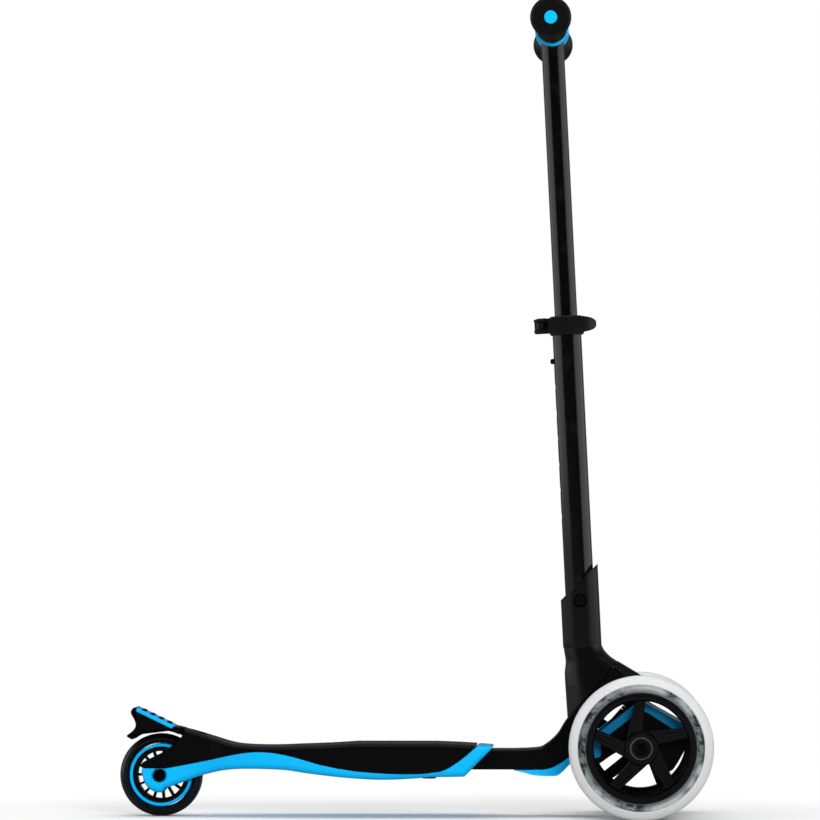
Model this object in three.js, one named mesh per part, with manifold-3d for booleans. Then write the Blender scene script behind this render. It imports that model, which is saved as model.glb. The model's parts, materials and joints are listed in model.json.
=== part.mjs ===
// A child's three-wheel scooter that steers by leaning: two large clear wheels on a truck at the
// front, one small wheel in the fork of the deck at the back, a deck that slides out on a beam,
// and a T-shaped handlebar that telescopes in its stem.
// Millimetres. +X points forward, +Y to the rider's left, +Z up. The origin is on the ground,
// under the middle of the scooter's bounding box.
import * as THREE from 'three';
import { mergeVertices } from 'three/addons/utils/BufferGeometryUtils.js';
import Module from 'manifold-3d';

const wasm = await Module();
wasm.setup();

// Driving sizes
const wheelbase = 464.3;
const frontWheelRadius = 69;
const rearWheelRadius = 40;
const wheelWidth = 24;
const frontHalfTrack = 106;
const handlebarHeight = 761.5;
const handlebarHalfWidth = 140;
const deckHalfWidth = 56;
const deckClearance = 36.7;
const deckDepth = 34.8;
const deckTravel = 36;
const stemLean = THREE.MathUtils.degToRad(2.78);
const stemSetback = 54.6;
const kingpinTilt = THREE.MathUtils.degToRad(41.5);
const kingpinTrail = 26.9;

// Clearances and cutters
const fit = 0.3;
const slack = 0.6;
const overrun = 5;
const weld = 1e-4;

// How finely round pieces are cut
const wheelSides = 36;
const smallWheelSides = 28;
const tubeSides = 16;
const boltSides = 8;
const hexSides = 6;
const curveSteps = 14;

const overallLength = rearWheelRadius + wheelbase + frontWheelRadius;
const rearAxle = { x: rearWheelRadius - overallLength / 2, z: rearWheelRadius };
const frontAxle = { x: rearAxle.x + wheelbase, z: frontWheelRadius };

// Finishes
const finish = (color, roughness, metalness, opacity = 1) =>
  new THREE.MeshStandardMaterial({ color, roughness, metalness, opacity, transparent: opacity < 1 });
const blackPlastic = finish(0x121214, 0.45, 0);
const bluePlastic = finish(0x04b4fb, 0.35, 0);
const blackPaint = finish(0x0a0a0c, 0.22, 0.3);
const blackRubber = finish(0x101012, 0.7, 0);
const blackTyre = finish(0x0b0b0d, 0.3, 0);
const clearTyre = finish(0xe8ecee, 0.25, 0, 0.6);
const clearCore = finish(0xdfe8ea, 0.1, 0, 0.45);
const steel = finish(0xb8bcc0, 0.3, 1);
const darkSteel = finish(0x2a2b2e, 0.4, 0.8);
const elastomer = finish(0x33363a, 0.5, 0);

// Solids from geometries, and back
function manifoldOf(positions, corners) {
  return new wasm.Manifold(new wasm.Mesh({ numProp: 3, vertProperties: positions, triVerts: corners }));
}

function solidOf(geometry) {
  const bare = geometry.index ? geometry.toNonIndexed() : geometry.clone();
  bare.deleteAttribute('normal');
  bare.deleteAttribute('uv');
  const welded = mergeVertices(bare, weld);
  const kept = [];
  const all = welded.index.array;
  for (let i = 0; i < all.length; i += 3) {
    const [a, b, c] = [all[i], all[i + 1], all[i + 2]];
    if (a !== b && b !== c && c !== a) kept.push([a, b, c]);
  }
  const positions = new Float32Array(welded.attributes.position.array);
  const outward = manifoldOf(positions, new Uint32Array(kept.flat()));
  if (outward.volume() >= 0) return outward;
  return manifoldOf(positions, new Uint32Array(kept.map(([a, b, c]) => [a, c, b]).flat()));
}

function meshOf(name, solid, material) {
  const made = solid.getMesh();
  const stride = made.numProp;
  const positions = new Float32Array((made.vertProperties.length / stride) * 3);
  for (let i = 0; i < positions.length / 3; i++) {
    positions.set(made.vertProperties.subarray(i * stride, i * stride + 3), i * 3);
  }
  const geometry = new THREE.BufferGeometry();
  geometry.setAttribute('position', new THREE.BufferAttribute(positions, 3));
  geometry.setIndex(new THREE.BufferAttribute(new Uint32Array(made.triVerts), 1));
  geometry.computeVertexNormals();
  const mesh = new THREE.Mesh(geometry, material);
  mesh.name = name;
  return mesh;
}

const join = (...solids) => solids.reduce((a, b) => a.add(b));
const cut = (solid, ...tools) => tools.reduce((a, b) => a.subtract(b), solid);

// Basic shapes. Each takes low and high ends, or a centre.
function box([x0, x1], [y0, y1], [z0, z1]) {
  const geometry = new THREE.BoxGeometry(x1 - x0, y1 - y0, z1 - z0);
  return solidOf(geometry.translate((x0 + x1) / 2, (y0 + y1) / 2, (z0 + z1) / 2));
}

// A side outline of [x, z] points, pushed across from y0 to y1
function across(outline, y0, y1) {
  const shape = new THREE.Shape(outline.map(([x, z]) => new THREE.Vector2(x, z)));
  const geometry = new THREE.ExtrudeGeometry(shape, { depth: y1 - y0, bevelEnabled: false, steps: 1 });
  return solidOf(geometry.rotateX(Math.PI / 2).translate(0, y1, 0));
}

// A plan outline of [x, y] points, pushed up from z0 to z1
function upright(outline, z0, z1) {
  const shape = new THREE.Shape(outline.map(([x, y]) => new THREE.Vector2(x, y)));
  const geometry = new THREE.ExtrudeGeometry(shape, { depth: z1 - z0, bevelEnabled: false, steps: 1 });
  return solidOf(geometry.translate(0, 0, z0));
}

// A round bar across the scooter, from y0 to y1, whose axis passes [x, z]
function crossBar(radius, y0, y1, x = 0, z = 0, sides = boltSides) {
  const geometry = new THREE.CylinderGeometry(radius, radius, y1 - y0, sides);
  return solidOf(geometry.translate(x, (y0 + y1) / 2, z));
}

// A round post from z0 to z1 at [x, y]
function post(radius, z0, z1, x = 0, y = 0, sides = boltSides) {
  const geometry = new THREE.CylinderGeometry(radius, radius, z1 - z0, sides).rotateX(Math.PI / 2);
  return solidOf(geometry.translate(x, y, (z0 + z1) / 2));
}

// A round rod from x0 to x1 at height z
function rod(radius, x0, x1, y = 0, z = 0, sides = boltSides) {
  const geometry = new THREE.CylinderGeometry(radius, radius, x1 - x0, sides).rotateZ(Math.PI / 2);
  return solidOf(geometry.translate((x0 + x1) / 2, y, z));
}

// A closed profile of [radius, y] turned about Y. Its facets, not its corners, lie at the radius,
// so that a wheel stands on a flat.
function turned(profile, sides) {
  const reach = 1 / Math.cos(Math.PI / sides);
  const points = profile.map(([r, y]) => new THREE.Vector2(r * reach, y));
  return solidOf(new THREE.LatheGeometry([...points, points[0]], sides, Math.PI / sides));
}

// The same about Z, for pieces on the stem or the kingpin: [radius, height]
function turnedUp(profile, sides = tubeSides) {
  const points = profile.map(([r, z]) => new THREE.Vector2(r, z));
  return solidOf(new THREE.LatheGeometry([...points, points[0]], sides).rotateX(Math.PI / 2));
}

const ringUp = (inner, outer, z0, z1, sides = tubeSides) =>
  turnedUp([[inner, z0], [outer, z0], [outer, z1], [inner, z1]], sides);

const ringAcross = (inner, outer, y0, y1, sides) =>
  turned([[inner, y0], [outer, y0], [outer, y1], [inner, y1]], sides);

// Rings of points, one above the other, joined into a closed body
function lofted(rings) {
  const count = rings[0].length;
  const positions = rings.flat(2);
  const corners = [];
  for (let k = 0; k + 1 < rings.length; k++) {
    for (let i = 0; i < count; i++) {
      const [a, b] = [k * count + i, k * count + ((i + 1) % count)];
      corners.push(a, b, b + count, a, b + count, a + count);
    }
  }
  for (const [k, flip] of [[0, true], [rings.length - 1, false]]) {
    for (let i = 1; i + 1 < count; i++) {
      const [a, b, c] = [k * count, k * count + i, k * count + i + 1];
      corners.push(...(flip ? [a, c, b] : [a, b, c]));
    }
  }
  const geometry = new THREE.BufferGeometry();
  geometry.setAttribute('position', new THREE.Float32BufferAttribute(positions, 3));
  geometry.setIndex(corners);
  return solidOf(geometry);
}

// A smooth line through a table of shares, as more shares
function curveThrough(shares, steps) {
  const points = shares.map(([u, v]) => new THREE.Vector2(u, v));
  return new THREE.SplineCurve(points).getPoints(steps).map((p) => [p.x, p.y]);
}

const sharePoints = (shares, origin, length, height) =>
  shares.map(([u, v]) => [origin.x + u * length, origin.z + v * height]);

// A plan outline from half widths along X, mirrored about the middle plane
function planOutline(stations) {
  const left = stations.map(([x, half]) => [x, half]);
  return [...left.map(([x, y]) => [x, -y]), ...left.reverse()];
}

// Deck: side outline, plan and the line where black meets blue
const lipSetback = 142.8;
const lipReach = wheelbase - lipSetback;
const lipX = rearAxle.x + lipReach;
const lipLength = 26.5;
const deckPatternShare = 8.0375;
const deckPatternLength = rearWheelRadius * deckPatternShare;
const deckStretchShares = { start: 0.2, end: 0.8 };
const deckTopShares = [[0.072, 1.382], [0.109, 1.29], [0.152, 1.167], [0.228, 0.957], [0.324, 0.902],
  [0.424, 0.925], [0.516, 0.957], [0.587, 1]];
const deckNoseShares = [[0.829, 1], [0.92, 0.966], [1, 0.911]];
const deckBottomShares = [[0.824, 0.072], [0.689, 0], [0.572, 0.046], [0.457, 0.161], [0.366, 0.27],
  [0.228, 0.276], [0.14, 0.129], [0.068, -0.103], [0.014, -0.279]];
const twoToneShares = [[0.022, 0.29], [0.133, 0.49], [0.247, 0.716], [0.324, 0.753], [0.4, 0.641],
  [0.503, 0.382], [0.622, 0.213], [0.755, 0.161], [0.824, 0.201], [0.865, 0.3], [0.916, 0.615],
    [0.966, 1.02]];
const deckWidthShares = [[0.14, 0.56], [0.2, 0.7], [0.3, 0.86], [0.42, 0.96], [0.55, 1], [0.75, 1],
  [0.9, 0.96], [1, 0.9]];
const lipCornerShares = { edge: 0.86, foot: 0.086 };

// Rear fork: two arms that the end of the deck runs out into
const forkHalfWidth = 28;
const forkWheelGap = 3.5;
const forkSlotHalfWidth = wheelWidth / 2 + forkWheelGap;
const forkEndRadius = 16.5;
const forkEndReach = 18;
const wheelWellClearance = 4;
const rearBoltRadius = 4;
const rearBoltHeadRadius = 6.4;
const rearBoltSink = 1;
const boltHeadHeight = 3.2;
const hexWellShares = { radius: 0.8, depth: 0.6 };
const forkRearEdgeShares = [[-0.44, 0.3], [-0.13, 0.46], [0.11, 0.58], [0.36, 0.77], [0.545, 0.96],
  [0.57, 1.1]];

// Beam that carries the deck on the front frame
const beamLift = 9.3;
const beamBottom = deckClearance + beamLift;
const beamHeight = 19.2;
const beamHalfWidth = 33;
const beamInsertion = 112;
const beamTop = beamBottom + beamHeight;
const beamRear = lipX - beamInsertion;
const channelRear = beamRear - deckTravel - slack;
const bushThickness = 1.6;
const bushLength = 14;
const lockSlotHalfWidth = 4.2;
const lockSlotMargin = 12;
const lockSlotSpan = deckTravel + lockSlotMargin;

// Beam's knee and its blue belly, in shares of the front wheel's radius from the front axle
const kneeTopShares = [[-1.446, -0.038], [-1.321, 0.016], [-1.169, 0.152]];
const kneeUnderShares = [[-0.972, -0.133], [-1.022, -0.171], [-1.172, -0.27], [-1.321, -0.325]];
const bellyShares = [[-1.646, -0.37], [-1.472, -0.413], [-1.221, -0.425], [-1.122, -0.394], [-0.972, -0.245],
  [-0.828, -0.08], [-0.864, -0.024]];
const bellyStartShare = -1.77;
const beamFlareShares = [[-1.7, 1], [-0.97, 0.88], [-0.3, 0.82], [0.3, 0.7]];

// Kingpin: a line in the middle plane that rises forward. Its sizes are measured along it from the
// middle of the truck's barrel, and backward from it to the riser of the beam.
const kingpinRadius = 4;
const kingpinHeadRadius = 7.5;
const kingpinHeadHeight = 5.5;
const kingpinNutHeight = 7;
const barrelRadius = 11;
const barrelHalfHeight = 14;
const bushingHeight = 3.4;
const lugRadius = 10.5;
const lugHeight = 13;
const riserFace = 43;
const riserUnderside = 17.5;
const riserEnd = 39;
const riserFoot = -29;
const lugRoom = 1.8;
const lugStart = barrelHalfHeight + bushingHeight + fit * 2;
const lugEnd = lugStart + lugHeight;
const capShares = [[-1, 0.16], [-0.46, 0.26], [-0.2, 0.29], [-0.13, 0.2], [-0.2, 0]];
const headBoltRadius = 3;
const headBoltHeadRadius = 5.2;
const headBoltHeadHeight = 3.5;
const headBoltSpread = 18.5;
const headBoltAt = 4;
const headBoltReach = 10;

// Truck: side outline in shares of the front wheel's radius from the front axle
const truckTrimOuterShares = [[-0.676, 0.116], [-0.504, 0.261], [-0.041, 0.616], [0.027, 0.638],
  [0.092, 0.601],
  [0.66, 0.283], [0.679, 0.217]];
const truckTrimInnerShares = [[0.604, 0.152], [0.076, 0.486], [0.005, 0.507], [-0.076, 0.449],
  [-0.466, 0.157],
  [-0.553, 0.072], [-0.553, -0.13], [-0.676, -0.16]];
const truckLowerShares = [[0.643, 0.043], [0.527, -0.174], [0.425, -0.333], [0.324, -0.333], [0.208, -0.159],
  [-0.009, -0.203], [-0.256, -0.043], [-0.366, -0.077], [-0.618, -0.255], [-0.676, -0.203]];
const truckHalfWidth = 84;
const truckChannelHalfWidth = 38;
const truckChannelDepth = 2;
const axleArmRadius = 10.5;
const axleArmGap = 2;
const axleBoltStart = 60;
const frontBoltHeadRadius = 6.6;

// Wheels
const bearingRadius = 11;
const bearingWidth = 7;
const axleRadius = 4;
const spacerRadius = 6.2;
const frontHubRadius = 16.5;
const frontRimRadius = 52.2;
const frontRimInner = 45;
const coreOuter = 59.8;
const coreHalfWidth = 10.5;
const treadHalfWidth = 5;
const treadDrop = 1.6;
const treadShoulder = 9.5;
const shoulderDrop = 4.2;
const frontTreadKnee = 7.1;
const spokeCount = 5;
const spokeOffset = 8;
const spokeRootWidth = 14;
const spokeTipWidth = 10;
const spokeHalfThickness = 5;
const rightSpokePhase = THREE.MathUtils.degToRad(9);
const leftSpokePhase = THREE.MathUtils.degToRad(0);
const rearHubRadius = 13.5;
const rearRimInner = 22.8;
const rearRimRadius = 26.2;
const rearRingRadius = 30.5;
const rearRingHalfWidth = 9.5;
const rearRimHalfWidth = 9;
const rearSpokeCount = 15;
const rearSpokeWidth = 2.4;
const rearSpokeHalfThickness = 6;

// Brake
const brakePivotReach = 32.6;
const brakePivotLift = 37;
const brakePivot = { x: rearAxle.x + brakePivotReach, z: rearAxle.z + brakePivotLift };
const brakeGap = 3.5;
const brakeHalfWidth = 26;
const brakePinRadius = 2;
const brakeBossRadius = 4.6;
const brakePadThickness = 4.2;
const brakePadHalfWidth = 22;
const brakePadInset = 2.5;
const brakeStudRadius = 2.4;
const brakeStudRise = 1.1;
const brakeStudRows = 4;
const brakeStudColumns = 3;
const brakeStudRoot = 1;
const brakeTopShares = { rear: [-0.616, 1.652], front: [0.401, 1.16] };
const brakeRearShares = [[-0.691, 1.575], [-0.709, 1.497], [-0.616, 1.348], [-0.569, 1.207], [-0.631, 1.083],
  [-0.816, 0.945], [-0.676, 0.858], [-0.4, 0.75], [0.7, 0.75]];
const brakeFrontShares = [[0.815, 1.03], [0.524, 1.16]];
const brakeWideShare = 0.47;
const springWire = 1.2;
const springTurns = 3;
const springSteps = 8;
const springSides = 5;

// Stem, along its own axis from its foot
const stemFootHeight = 134;
const stemAt = (height) => (height - stemFootHeight) / Math.cos(stemLean);
const outerTubeRadius = 14;
const outerTubeBore = 11.9;
const clampTopHeight = 484.4;
const clampTop = stemAt(clampTopHeight);
const clampHeight = 18.6;
const tubeTopSetback = 1.5;
const outerTubeTop = clampTop - tubeTopSetback;
const sleeveWall = 0.6;
const sleeveFlange = 1.6;
const sleeveLength = 30;
const innerTubeRadius = 11;
const innerTubeBore = 9.2;
const heightButtonDrop = 43.35;
const heightButtonAt = clampTop - heightButtonDrop;
const heightStep = 25;
const heightHoleCount = 7;
const heightButtonRadius = 2.6;
const heightButtonRise = 3.4;
const heightButtonRoot = 3;
const innerTubeBelowButton = 26;
const crossTubeAt = stemAt(handlebarHeight);
const tJointRadius = 15.4;
const tJointHalfLength = 24;
const gripRadius = 15;
const gripFlangeRadius = 19.6;
const gripFlangeThickness = 4;
const gripGap = 12;
const gripInnerFlange = 17.4;
const gripEndWall = 3;
const barPlugRadius = 6.2;
const barPlugLength = 9;
const barPlugShoulder = 4.5;

// Head that holds the stem's foot
const socketRadius = 18.7;
const socketRimHeight = 226.6;
const socketRimAt = stemAt(socketRimHeight);
const socketRimSlope = THREE.MathUtils.degToRad(42);
const socketWaistHeight = 163;
const stemButtonDrop = 18.22;
const stemButtonAt = socketRimAt - stemButtonDrop;
const stemButtonRadius = 4.6;
const stemButtonRise = 1.4;
const stemButtonRecess = 6.6;
const headSides = 20;
const headSquareness = 2.4;
// Rings of the head below its socket, in shares of the socket's radius: height, back, front, half width
const headRingShares = [[0.15, -1, 1, 1], [-0.45, -0.9, 1.45, 1.05], [-0.77, -0.87, 1.92, 1.12],
  [-1.3, -0.92, 2.6, 1.25], [-1.95, -0.89, 2.9, 1.4], [-3.9, -0.76, 2.9, 1.52]];

// Clamp at the top of the stem
const clampRadius = 18;
const earReach = 31;
const earHalfGap = 1.4;
const earOuter = 12.2;
const clampBoltRadius = 2.6;
const leverPivot = { x: -25, y: -19 };
const leverBarrelRadius = 6.5;
const leverHalfHeight = 6.4;
const boltEyeRadius = 4.4;
const boltEyeHalfHeight = 3.4;
const boltEyeRoom = 2.5;
const leverPinRadius = 1.8;
const clampNutRadius = 6;
const clampNutHeight = 5;
const clampNutCap = 2.5;
const leverOuterShares = [[-0.95, -1.1], [-0.5, -1.36], [-0.05, -1.5], [0.4, -1.42], [0.75, -1.22],
  [0.97, -0.9]];
const leverInnerShares = [[0.9, -0.78], [0.65, -1.02], [0.35, -1.2], [0, -1.27], [-0.35, -1.22],
  [-0.62, -0.85]];
const leverReach = 30;
const leverDepth = 19;

// Deck lock, mat and rear cavity
const lockSetback = 62;
const lockX = lipX - lockSetback;
const lockButtonRadius = 7;
const lockTipRadius = 3.6;
const lockTravel = 3;
const lockEngagement = 1.5;
const lockWell = 2.6;
const matThickness = 1.6;
const matHalfWidth = 42;
const matStartShare = 0.34;
const matEndShare = 0.9;
const cavityHalfWidth = 36;
const cavityStartShare = 0.25;
const cavityEndShare = 0.46;
const cavitySkin = 3.2;
const cavityFloorShare = 0.27;
const cavityCeilingShare = 0.9;

// A wheel's bearing, ring-shaped, with its middle at y
const bearing = (y) =>
  ringAcross(axleRadius + fit, bearingRadius, y - bearingWidth / 2, y + bearingWidth / 2, tubeSides);
const bearingOffset = wheelWidth / 2 - bearingWidth / 2;

// One straight-sided swept spoke in the wheel's plane
function spokeOutline(angle, from, to, rootWidth, tipWidth, offset) {
  const along = [Math.cos(angle), Math.sin(angle)];
  const side = [-along[1], along[0]];
  const at = (reach, shift) => [along[0] * reach + side[0] * shift, along[1] * reach + side[1] * shift];
  return [at(from, offset - rootWidth / 2), at(to, offset - tipWidth / 2), at(to, offset + tipWidth / 2),
    at(from, offset + rootWidth / 2)];
}

function spokes(count, phase, size, halfThickness) {
  const each = Array.from({ length: count }, (_, k) => {
    const angle = phase + (k * 2 * Math.PI) / count;
    const outline = spokeOutline(angle, size.from, size.to, size.rootWidth, size.tipWidth, size.offset);
    return across(outline, -halfThickness, halfThickness);
  });
  return join(...each);
}

function frontWheel(side, phase) {
  const group = new THREE.Group();
  const half = wheelWidth / 2;
  const hubBore = bearingRadius + fit;
  const seat = half - bearingWidth;
  const size = { from: 0, to: (frontRimInner + frontRimRadius) / 2, rootWidth: spokeRootWidth,
    tipWidth: spokeTipWidth, offset: spokeOffset };
  const hub = ringAcross(spacerRadius + fit, frontHubRadius, -half, half, tubeSides);
  const rimRing = ringAcross(frontRimInner, frontRimRadius, -half + fit, half - fit, wheelSides);
  const bore = crossBar(spacerRadius + fit, -half - overrun, half + overrun, 0, 0, tubeSides);
  const seats = [-1, 1].map((s) => {
    const ends = [s * (seat - fit), s * (half + overrun)].sort((a, b) => a - b);
    return ringAcross(0, hubBore, ends[0], ends[1], tubeSides);
  });
  const rim = cut(join(hub, rimRing, spokes(spokeCount, phase, size, spokeHalfThickness)), bore, ...seats);
  group.add(meshOf(`front_rim_${side}`, rim, blackPlastic));

  const core = ringAcross(frontRimRadius + fit, coreOuter, -coreHalfWidth, coreHalfWidth, wheelSides);
  group.add(meshOf(`light_core_${side}`, core, clearCore));

  const tyreInner = coreOuter + fit;
  const tyre = turned([[tyreInner, -half], [frontWheelRadius - shoulderDrop, -treadShoulder],
    [frontWheelRadius - treadDrop, -frontTreadKnee], [frontWheelRadius, -treadHalfWidth],
    [frontWheelRadius, treadHalfWidth], [frontWheelRadius - treadDrop, frontTreadKnee],
    [frontWheelRadius - shoulderDrop, treadShoulder], [tyreInner, half]], wheelSides);
  group.add(meshOf(`front_tyre_${side}`, tyre, clearTyre));
  group.add(meshOf(`front_bearing_outer_${side}`, bearing(-bearingOffset), steel));
  group.add(meshOf(`front_bearing_inner_${side}`, bearing(bearingOffset), steel));
  return group;
}

function rearWheel() {
  const group = new THREE.Group();
  const half = wheelWidth / 2;
  const seat = half - bearingWidth;
  const size = { from: 0, to: (rearRimInner + rearRimRadius) / 2, rootWidth: rearSpokeWidth,
    tipWidth: rearSpokeWidth, offset: 0 };
  const hub = ringAcross(spacerRadius + fit, rearHubRadius, -half, half, tubeSides);
  const rimRing = ringAcross(rearRimInner, rearRimRadius, -rearRimHalfWidth, rearRimHalfWidth,
    smallWheelSides);
  const bore = crossBar(spacerRadius + fit, -half - overrun, half + overrun, 0, 0, tubeSides);
  const seats = [-1, 1].map((s) => {
    const ends = [s * (seat - fit), s * (half + overrun)].sort((a, b) => a - b);
    return ringAcross(0, bearingRadius + fit, ends[0], ends[1], tubeSides);
  });
  const web = spokes(rearSpokeCount, Math.PI / rearSpokeCount, size, rearSpokeHalfThickness);
  const rim = cut(join(hub, rimRing, web), bore, ...seats);
  group.add(meshOf('rear_rim', rim, blackPlastic));
  const ring = ringAcross(rearRimRadius + fit, rearRingRadius, -rearRingHalfWidth, rearRingHalfWidth,
    smallWheelSides);
  group.add(meshOf('rear_rim_ring', ring, bluePlastic));
  const tyreInner = rearRingRadius + fit;
  const tyre = turned([[tyreInner, -treadShoulder], [rearWheelRadius - shoulderDrop, -half],
    [rearWheelRadius - treadDrop, -treadShoulder], [rearWheelRadius, -treadHalfWidth],
    [rearWheelRadius, treadHalfWidth], [rearWheelRadius - treadDrop, treadShoulder],
    [rearWheelRadius - shoulderDrop, half], [tyreInner, treadShoulder]], smallWheelSides);
  group.add(meshOf('rear_tyre', tyre, blackTyre));
  group.add(meshOf('rear_bearing_right', bearing(-bearingOffset), steel));
  group.add(meshOf('rear_bearing_left', bearing(bearingOffset), steel));
  group.position.set(rearAxle.x, 0, rearAxle.z);
  return group;
}

// Deck. Its shares are of its own pattern length, and a longer or shorter deck changes between its
// stretch shares only, so that the fork and the lip keep their shape.
const flatTop = deckClearance + deckDepth;
const cutterHeight = deckDepth * 4;

function deckX(share) {
  const { start, end } = deckStretchShares;
  const stretched = THREE.MathUtils.clamp((share - start) / (end - start), 0, 1);
  return rearAxle.x + share * deckPatternLength + stretched * (lipReach - deckPatternLength);
}

function deckShares(shares, steps = curveSteps) {
  return curveThrough(shares, steps).map(([u, v]) => [deckX(u), deckClearance + v * deckDepth]);
}

const deckTopLine = [...deckShares(deckTopShares), ...deckShares(deckNoseShares, deckNoseShares.length)];

function deckBlank() {
  const bottom = deckShares(deckBottomShares);
  const rearEdge = sharePoints(forkRearEdgeShares, rearAxle, rearWheelRadius, rearWheelRadius);
  const lip = [[lipX, deckClearance + deckDepth * lipCornerShares.edge],
    [lipX - lipLength, deckClearance + deckDepth * lipCornerShares.foot]];
  const side = across([...rearEdge, ...deckTopLine, ...lip, ...bottom], -deckHalfWidth, deckHalfWidth);
  const forkEnds = crossBar(forkEndRadius, -forkHalfWidth, forkHalfWidth, rearAxle.x, rearAxle.z - fit,
    tubeSides);
  const rear = rearAxle.x - forkEndReach - overrun;
  const plan = planOutline([[rear, forkHalfWidth], [rearAxle.x + rearWheelRadius / 2, forkHalfWidth],
    ...deckWidthShares.map(([u, w]) => [deckX(u), w * deckHalfWidth])]);
  return join(side, forkEnds).intersect(upright(plan, 0, flatTop + deckDepth));
}

function wheelSlot() {
  const front = rearAxle.x + rearWheelRadius + wheelWellClearance;
  return box([rearAxle.x - rearWheelRadius, front], [-forkSlotHalfWidth, forkSlotHalfWidth],
    [0, cutterHeight]);
}

function deckCavity() {
  const low = deckClearance + deckDepth * cavityFloorShare + cavitySkin;
  const high = deckClearance + deckDepth * cavityCeilingShare - cavitySkin;
  return box([deckX(cavityStartShare), deckX(cavityEndShare)], [-cavityHalfWidth, cavityHalfWidth],
    [low, high]);
}

// The strip of deck between the top line lowered by one depth and the same line lowered by another
function deckStrip(upper, lower, grow) {
  const [start, end] = [deckX(matStartShare) - grow, deckX(matEndShare) + grow];
  const inside = deckTopLine.filter(([x]) => x > start && x < end);
  const heightAt = (x) => {
    const k = deckTopLine.findIndex(([next]) => next > x);
    const [[x0, z0], [x1, z1]] = [deckTopLine[k - 1], deckTopLine[k]];
    return z0 + ((z1 - z0) * (x - x0)) / (x1 - x0);
  };
  const line = [[start, heightAt(start)], ...inside, [end, heightAt(end)]];
  const outline = [...line.map(([x, z]) => [x, z - lower]),
    ...line.map(([x, z]) => [x, z - upper]).reverse()];
  return across(outline, -matHalfWidth - grow, matHalfWidth + grow);
}

function beamChannel() {
  const width = beamHalfWidth + bushThickness + fit;
  return box([channelRear, lipX + overrun], [-width, width],
    [beamBottom - bushThickness - fit, beamTop + bushThickness + fit]);
}

function twoTone(shift, above) {
  const line = deckShares(twoToneShares, curveSteps * 2).map(([x, z]) => [x, z + shift]);
  const first = [rearAxle.x - rearWheelRadius, line[0][1]];
  const last = line[line.length - 1];
  const edge = above ? cutterHeight : -cutterHeight;
  const outline = above
    ? [first, ...line, [last[0], edge], [first[0], edge]]
    : [first, ...line, [last[0], cutterHeight], [lipX + overrun, cutterHeight], [lipX + overrun, edge],
      [first[0], edge]];
  return across(outline, -deckHalfWidth - overrun, deckHalfWidth + overrun);
}

function lockBore() {
  const wellTop = deckClearance + lockWell + lockTravel + slack;
  return join(post(lockButtonRadius + fit, 0, wellTop, lockX, 0, tubeSides),
    post(lockTipRadius + fit, 0, beamBottom + overrun, lockX));
}

function deck() {
  const group = new THREE.Group();
  const blank = deckBlank();
  const pinSpan = forkHalfWidth - overrun;
  const pinHole = crossBar(brakePinRadius + fit, -pinSpan - fit, pinSpan + fit, brakePivot.x, brakePivot.z);
  const axleHole = crossBar(rearBoltRadius + fit, -deckHalfWidth, deckHalfWidth, rearAxle.x, rearAxle.z);
  const headWells = [-1, 1].map((s) => {
    const ends = [s * (forkHalfWidth - rearBoltSink - fit), s * deckHalfWidth].sort((a, b) => a - b);
    return crossBar(rearBoltHeadRadius + slack, ends[0], ends[1], rearAxle.x, rearAxle.z, tubeSides);
  });
  const matBed = deckStrip(-overrun, matThickness + fit, fit);
  const cuts = [wheelSlot(), deckCavity(), beamChannel(), pinHole, axleHole, ...headWells, lockBore()];
  const top = cut(blank.intersect(twoTone(fit / 2, true)), ...cuts, matBed);
  const bosses = [-1, 1].map((s) => {
    const ends = [s * (wheelWidth / 2 + fit), s * (forkSlotHalfWidth + fit)].sort((a, b) => a - b);
    return crossBar(spacerRadius, ends[0], ends[1], rearAxle.x, rearAxle.z, tubeSides);
  });
  const lower = join(cut(blank.intersect(twoTone(-fit / 2, false)), wheelSlot()), ...bosses);
  const under = cut(lower, ...cuts.slice(1));
  group.add(meshOf('deck_top', top, blackPlastic));
  group.add(meshOf('deck_underbody', under, bluePlastic));

  group.add(meshOf('deck_mat', deckStrip(0, matThickness, 0), blackRubber));

  const bushes = [['front', lipX - lipLength - bushLength], ['rear', beamRear + fit]];
  for (const [end, x] of bushes) {
    const outer = beamHalfWidth + bushThickness;
    const ring = box([x, x + bushLength], [-outer, outer],
      [beamBottom - bushThickness, beamTop + bushThickness]);
    const inner = beamHalfWidth + fit;
    const hole = box([x - overrun, x + bushLength + overrun], [-inner, inner],
      [beamBottom - fit, beamTop + fit]);
    group.add(meshOf(`beam_bush_${end}`, cut(ring, hole), blackRubber));
  }

  const headStart = forkHalfWidth - rearBoltSink;
  const headEnd = headStart + boltHeadHeight;
  const shankEnd = headStart + boltHeadHeight / 2;
  const bolt = join(crossBar(rearBoltRadius, -headEnd + fit, shankEnd - fit, 0, 0),
    crossBar(rearBoltHeadRadius, -headEnd, -headStart, 0, 0, tubeSides));
  const hexWell = crossBar(rearBoltRadius * hexWellShares.radius, -headEnd - overrun,
    -headEnd + boltHeadHeight * hexWellShares.depth, 0, 0, hexSides);
  const rearBolt = meshOf('rear_axle_bolt', cut(bolt, hexWell), darkSteel);
  rearBolt.position.set(rearAxle.x, 0, rearAxle.z);
  const nut = cut(crossBar(rearBoltHeadRadius, headStart, headEnd, 0, 0, hexSides),
    crossBar(rearBoltRadius + fit, 0, shankEnd, 0, 0));
  const rearNut = meshOf('rear_axle_nut', nut, darkSteel);
  rearNut.position.set(rearAxle.x, 0, rearAxle.z);
  const pin = meshOf('brake_pin', crossBar(brakePinRadius, -pinSpan, pinSpan, 0, 0), steel);
  pin.position.set(brakePivot.x, 0, brakePivot.z);
  group.add(rearBolt, rearNut, pin);
  return group;
}

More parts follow.
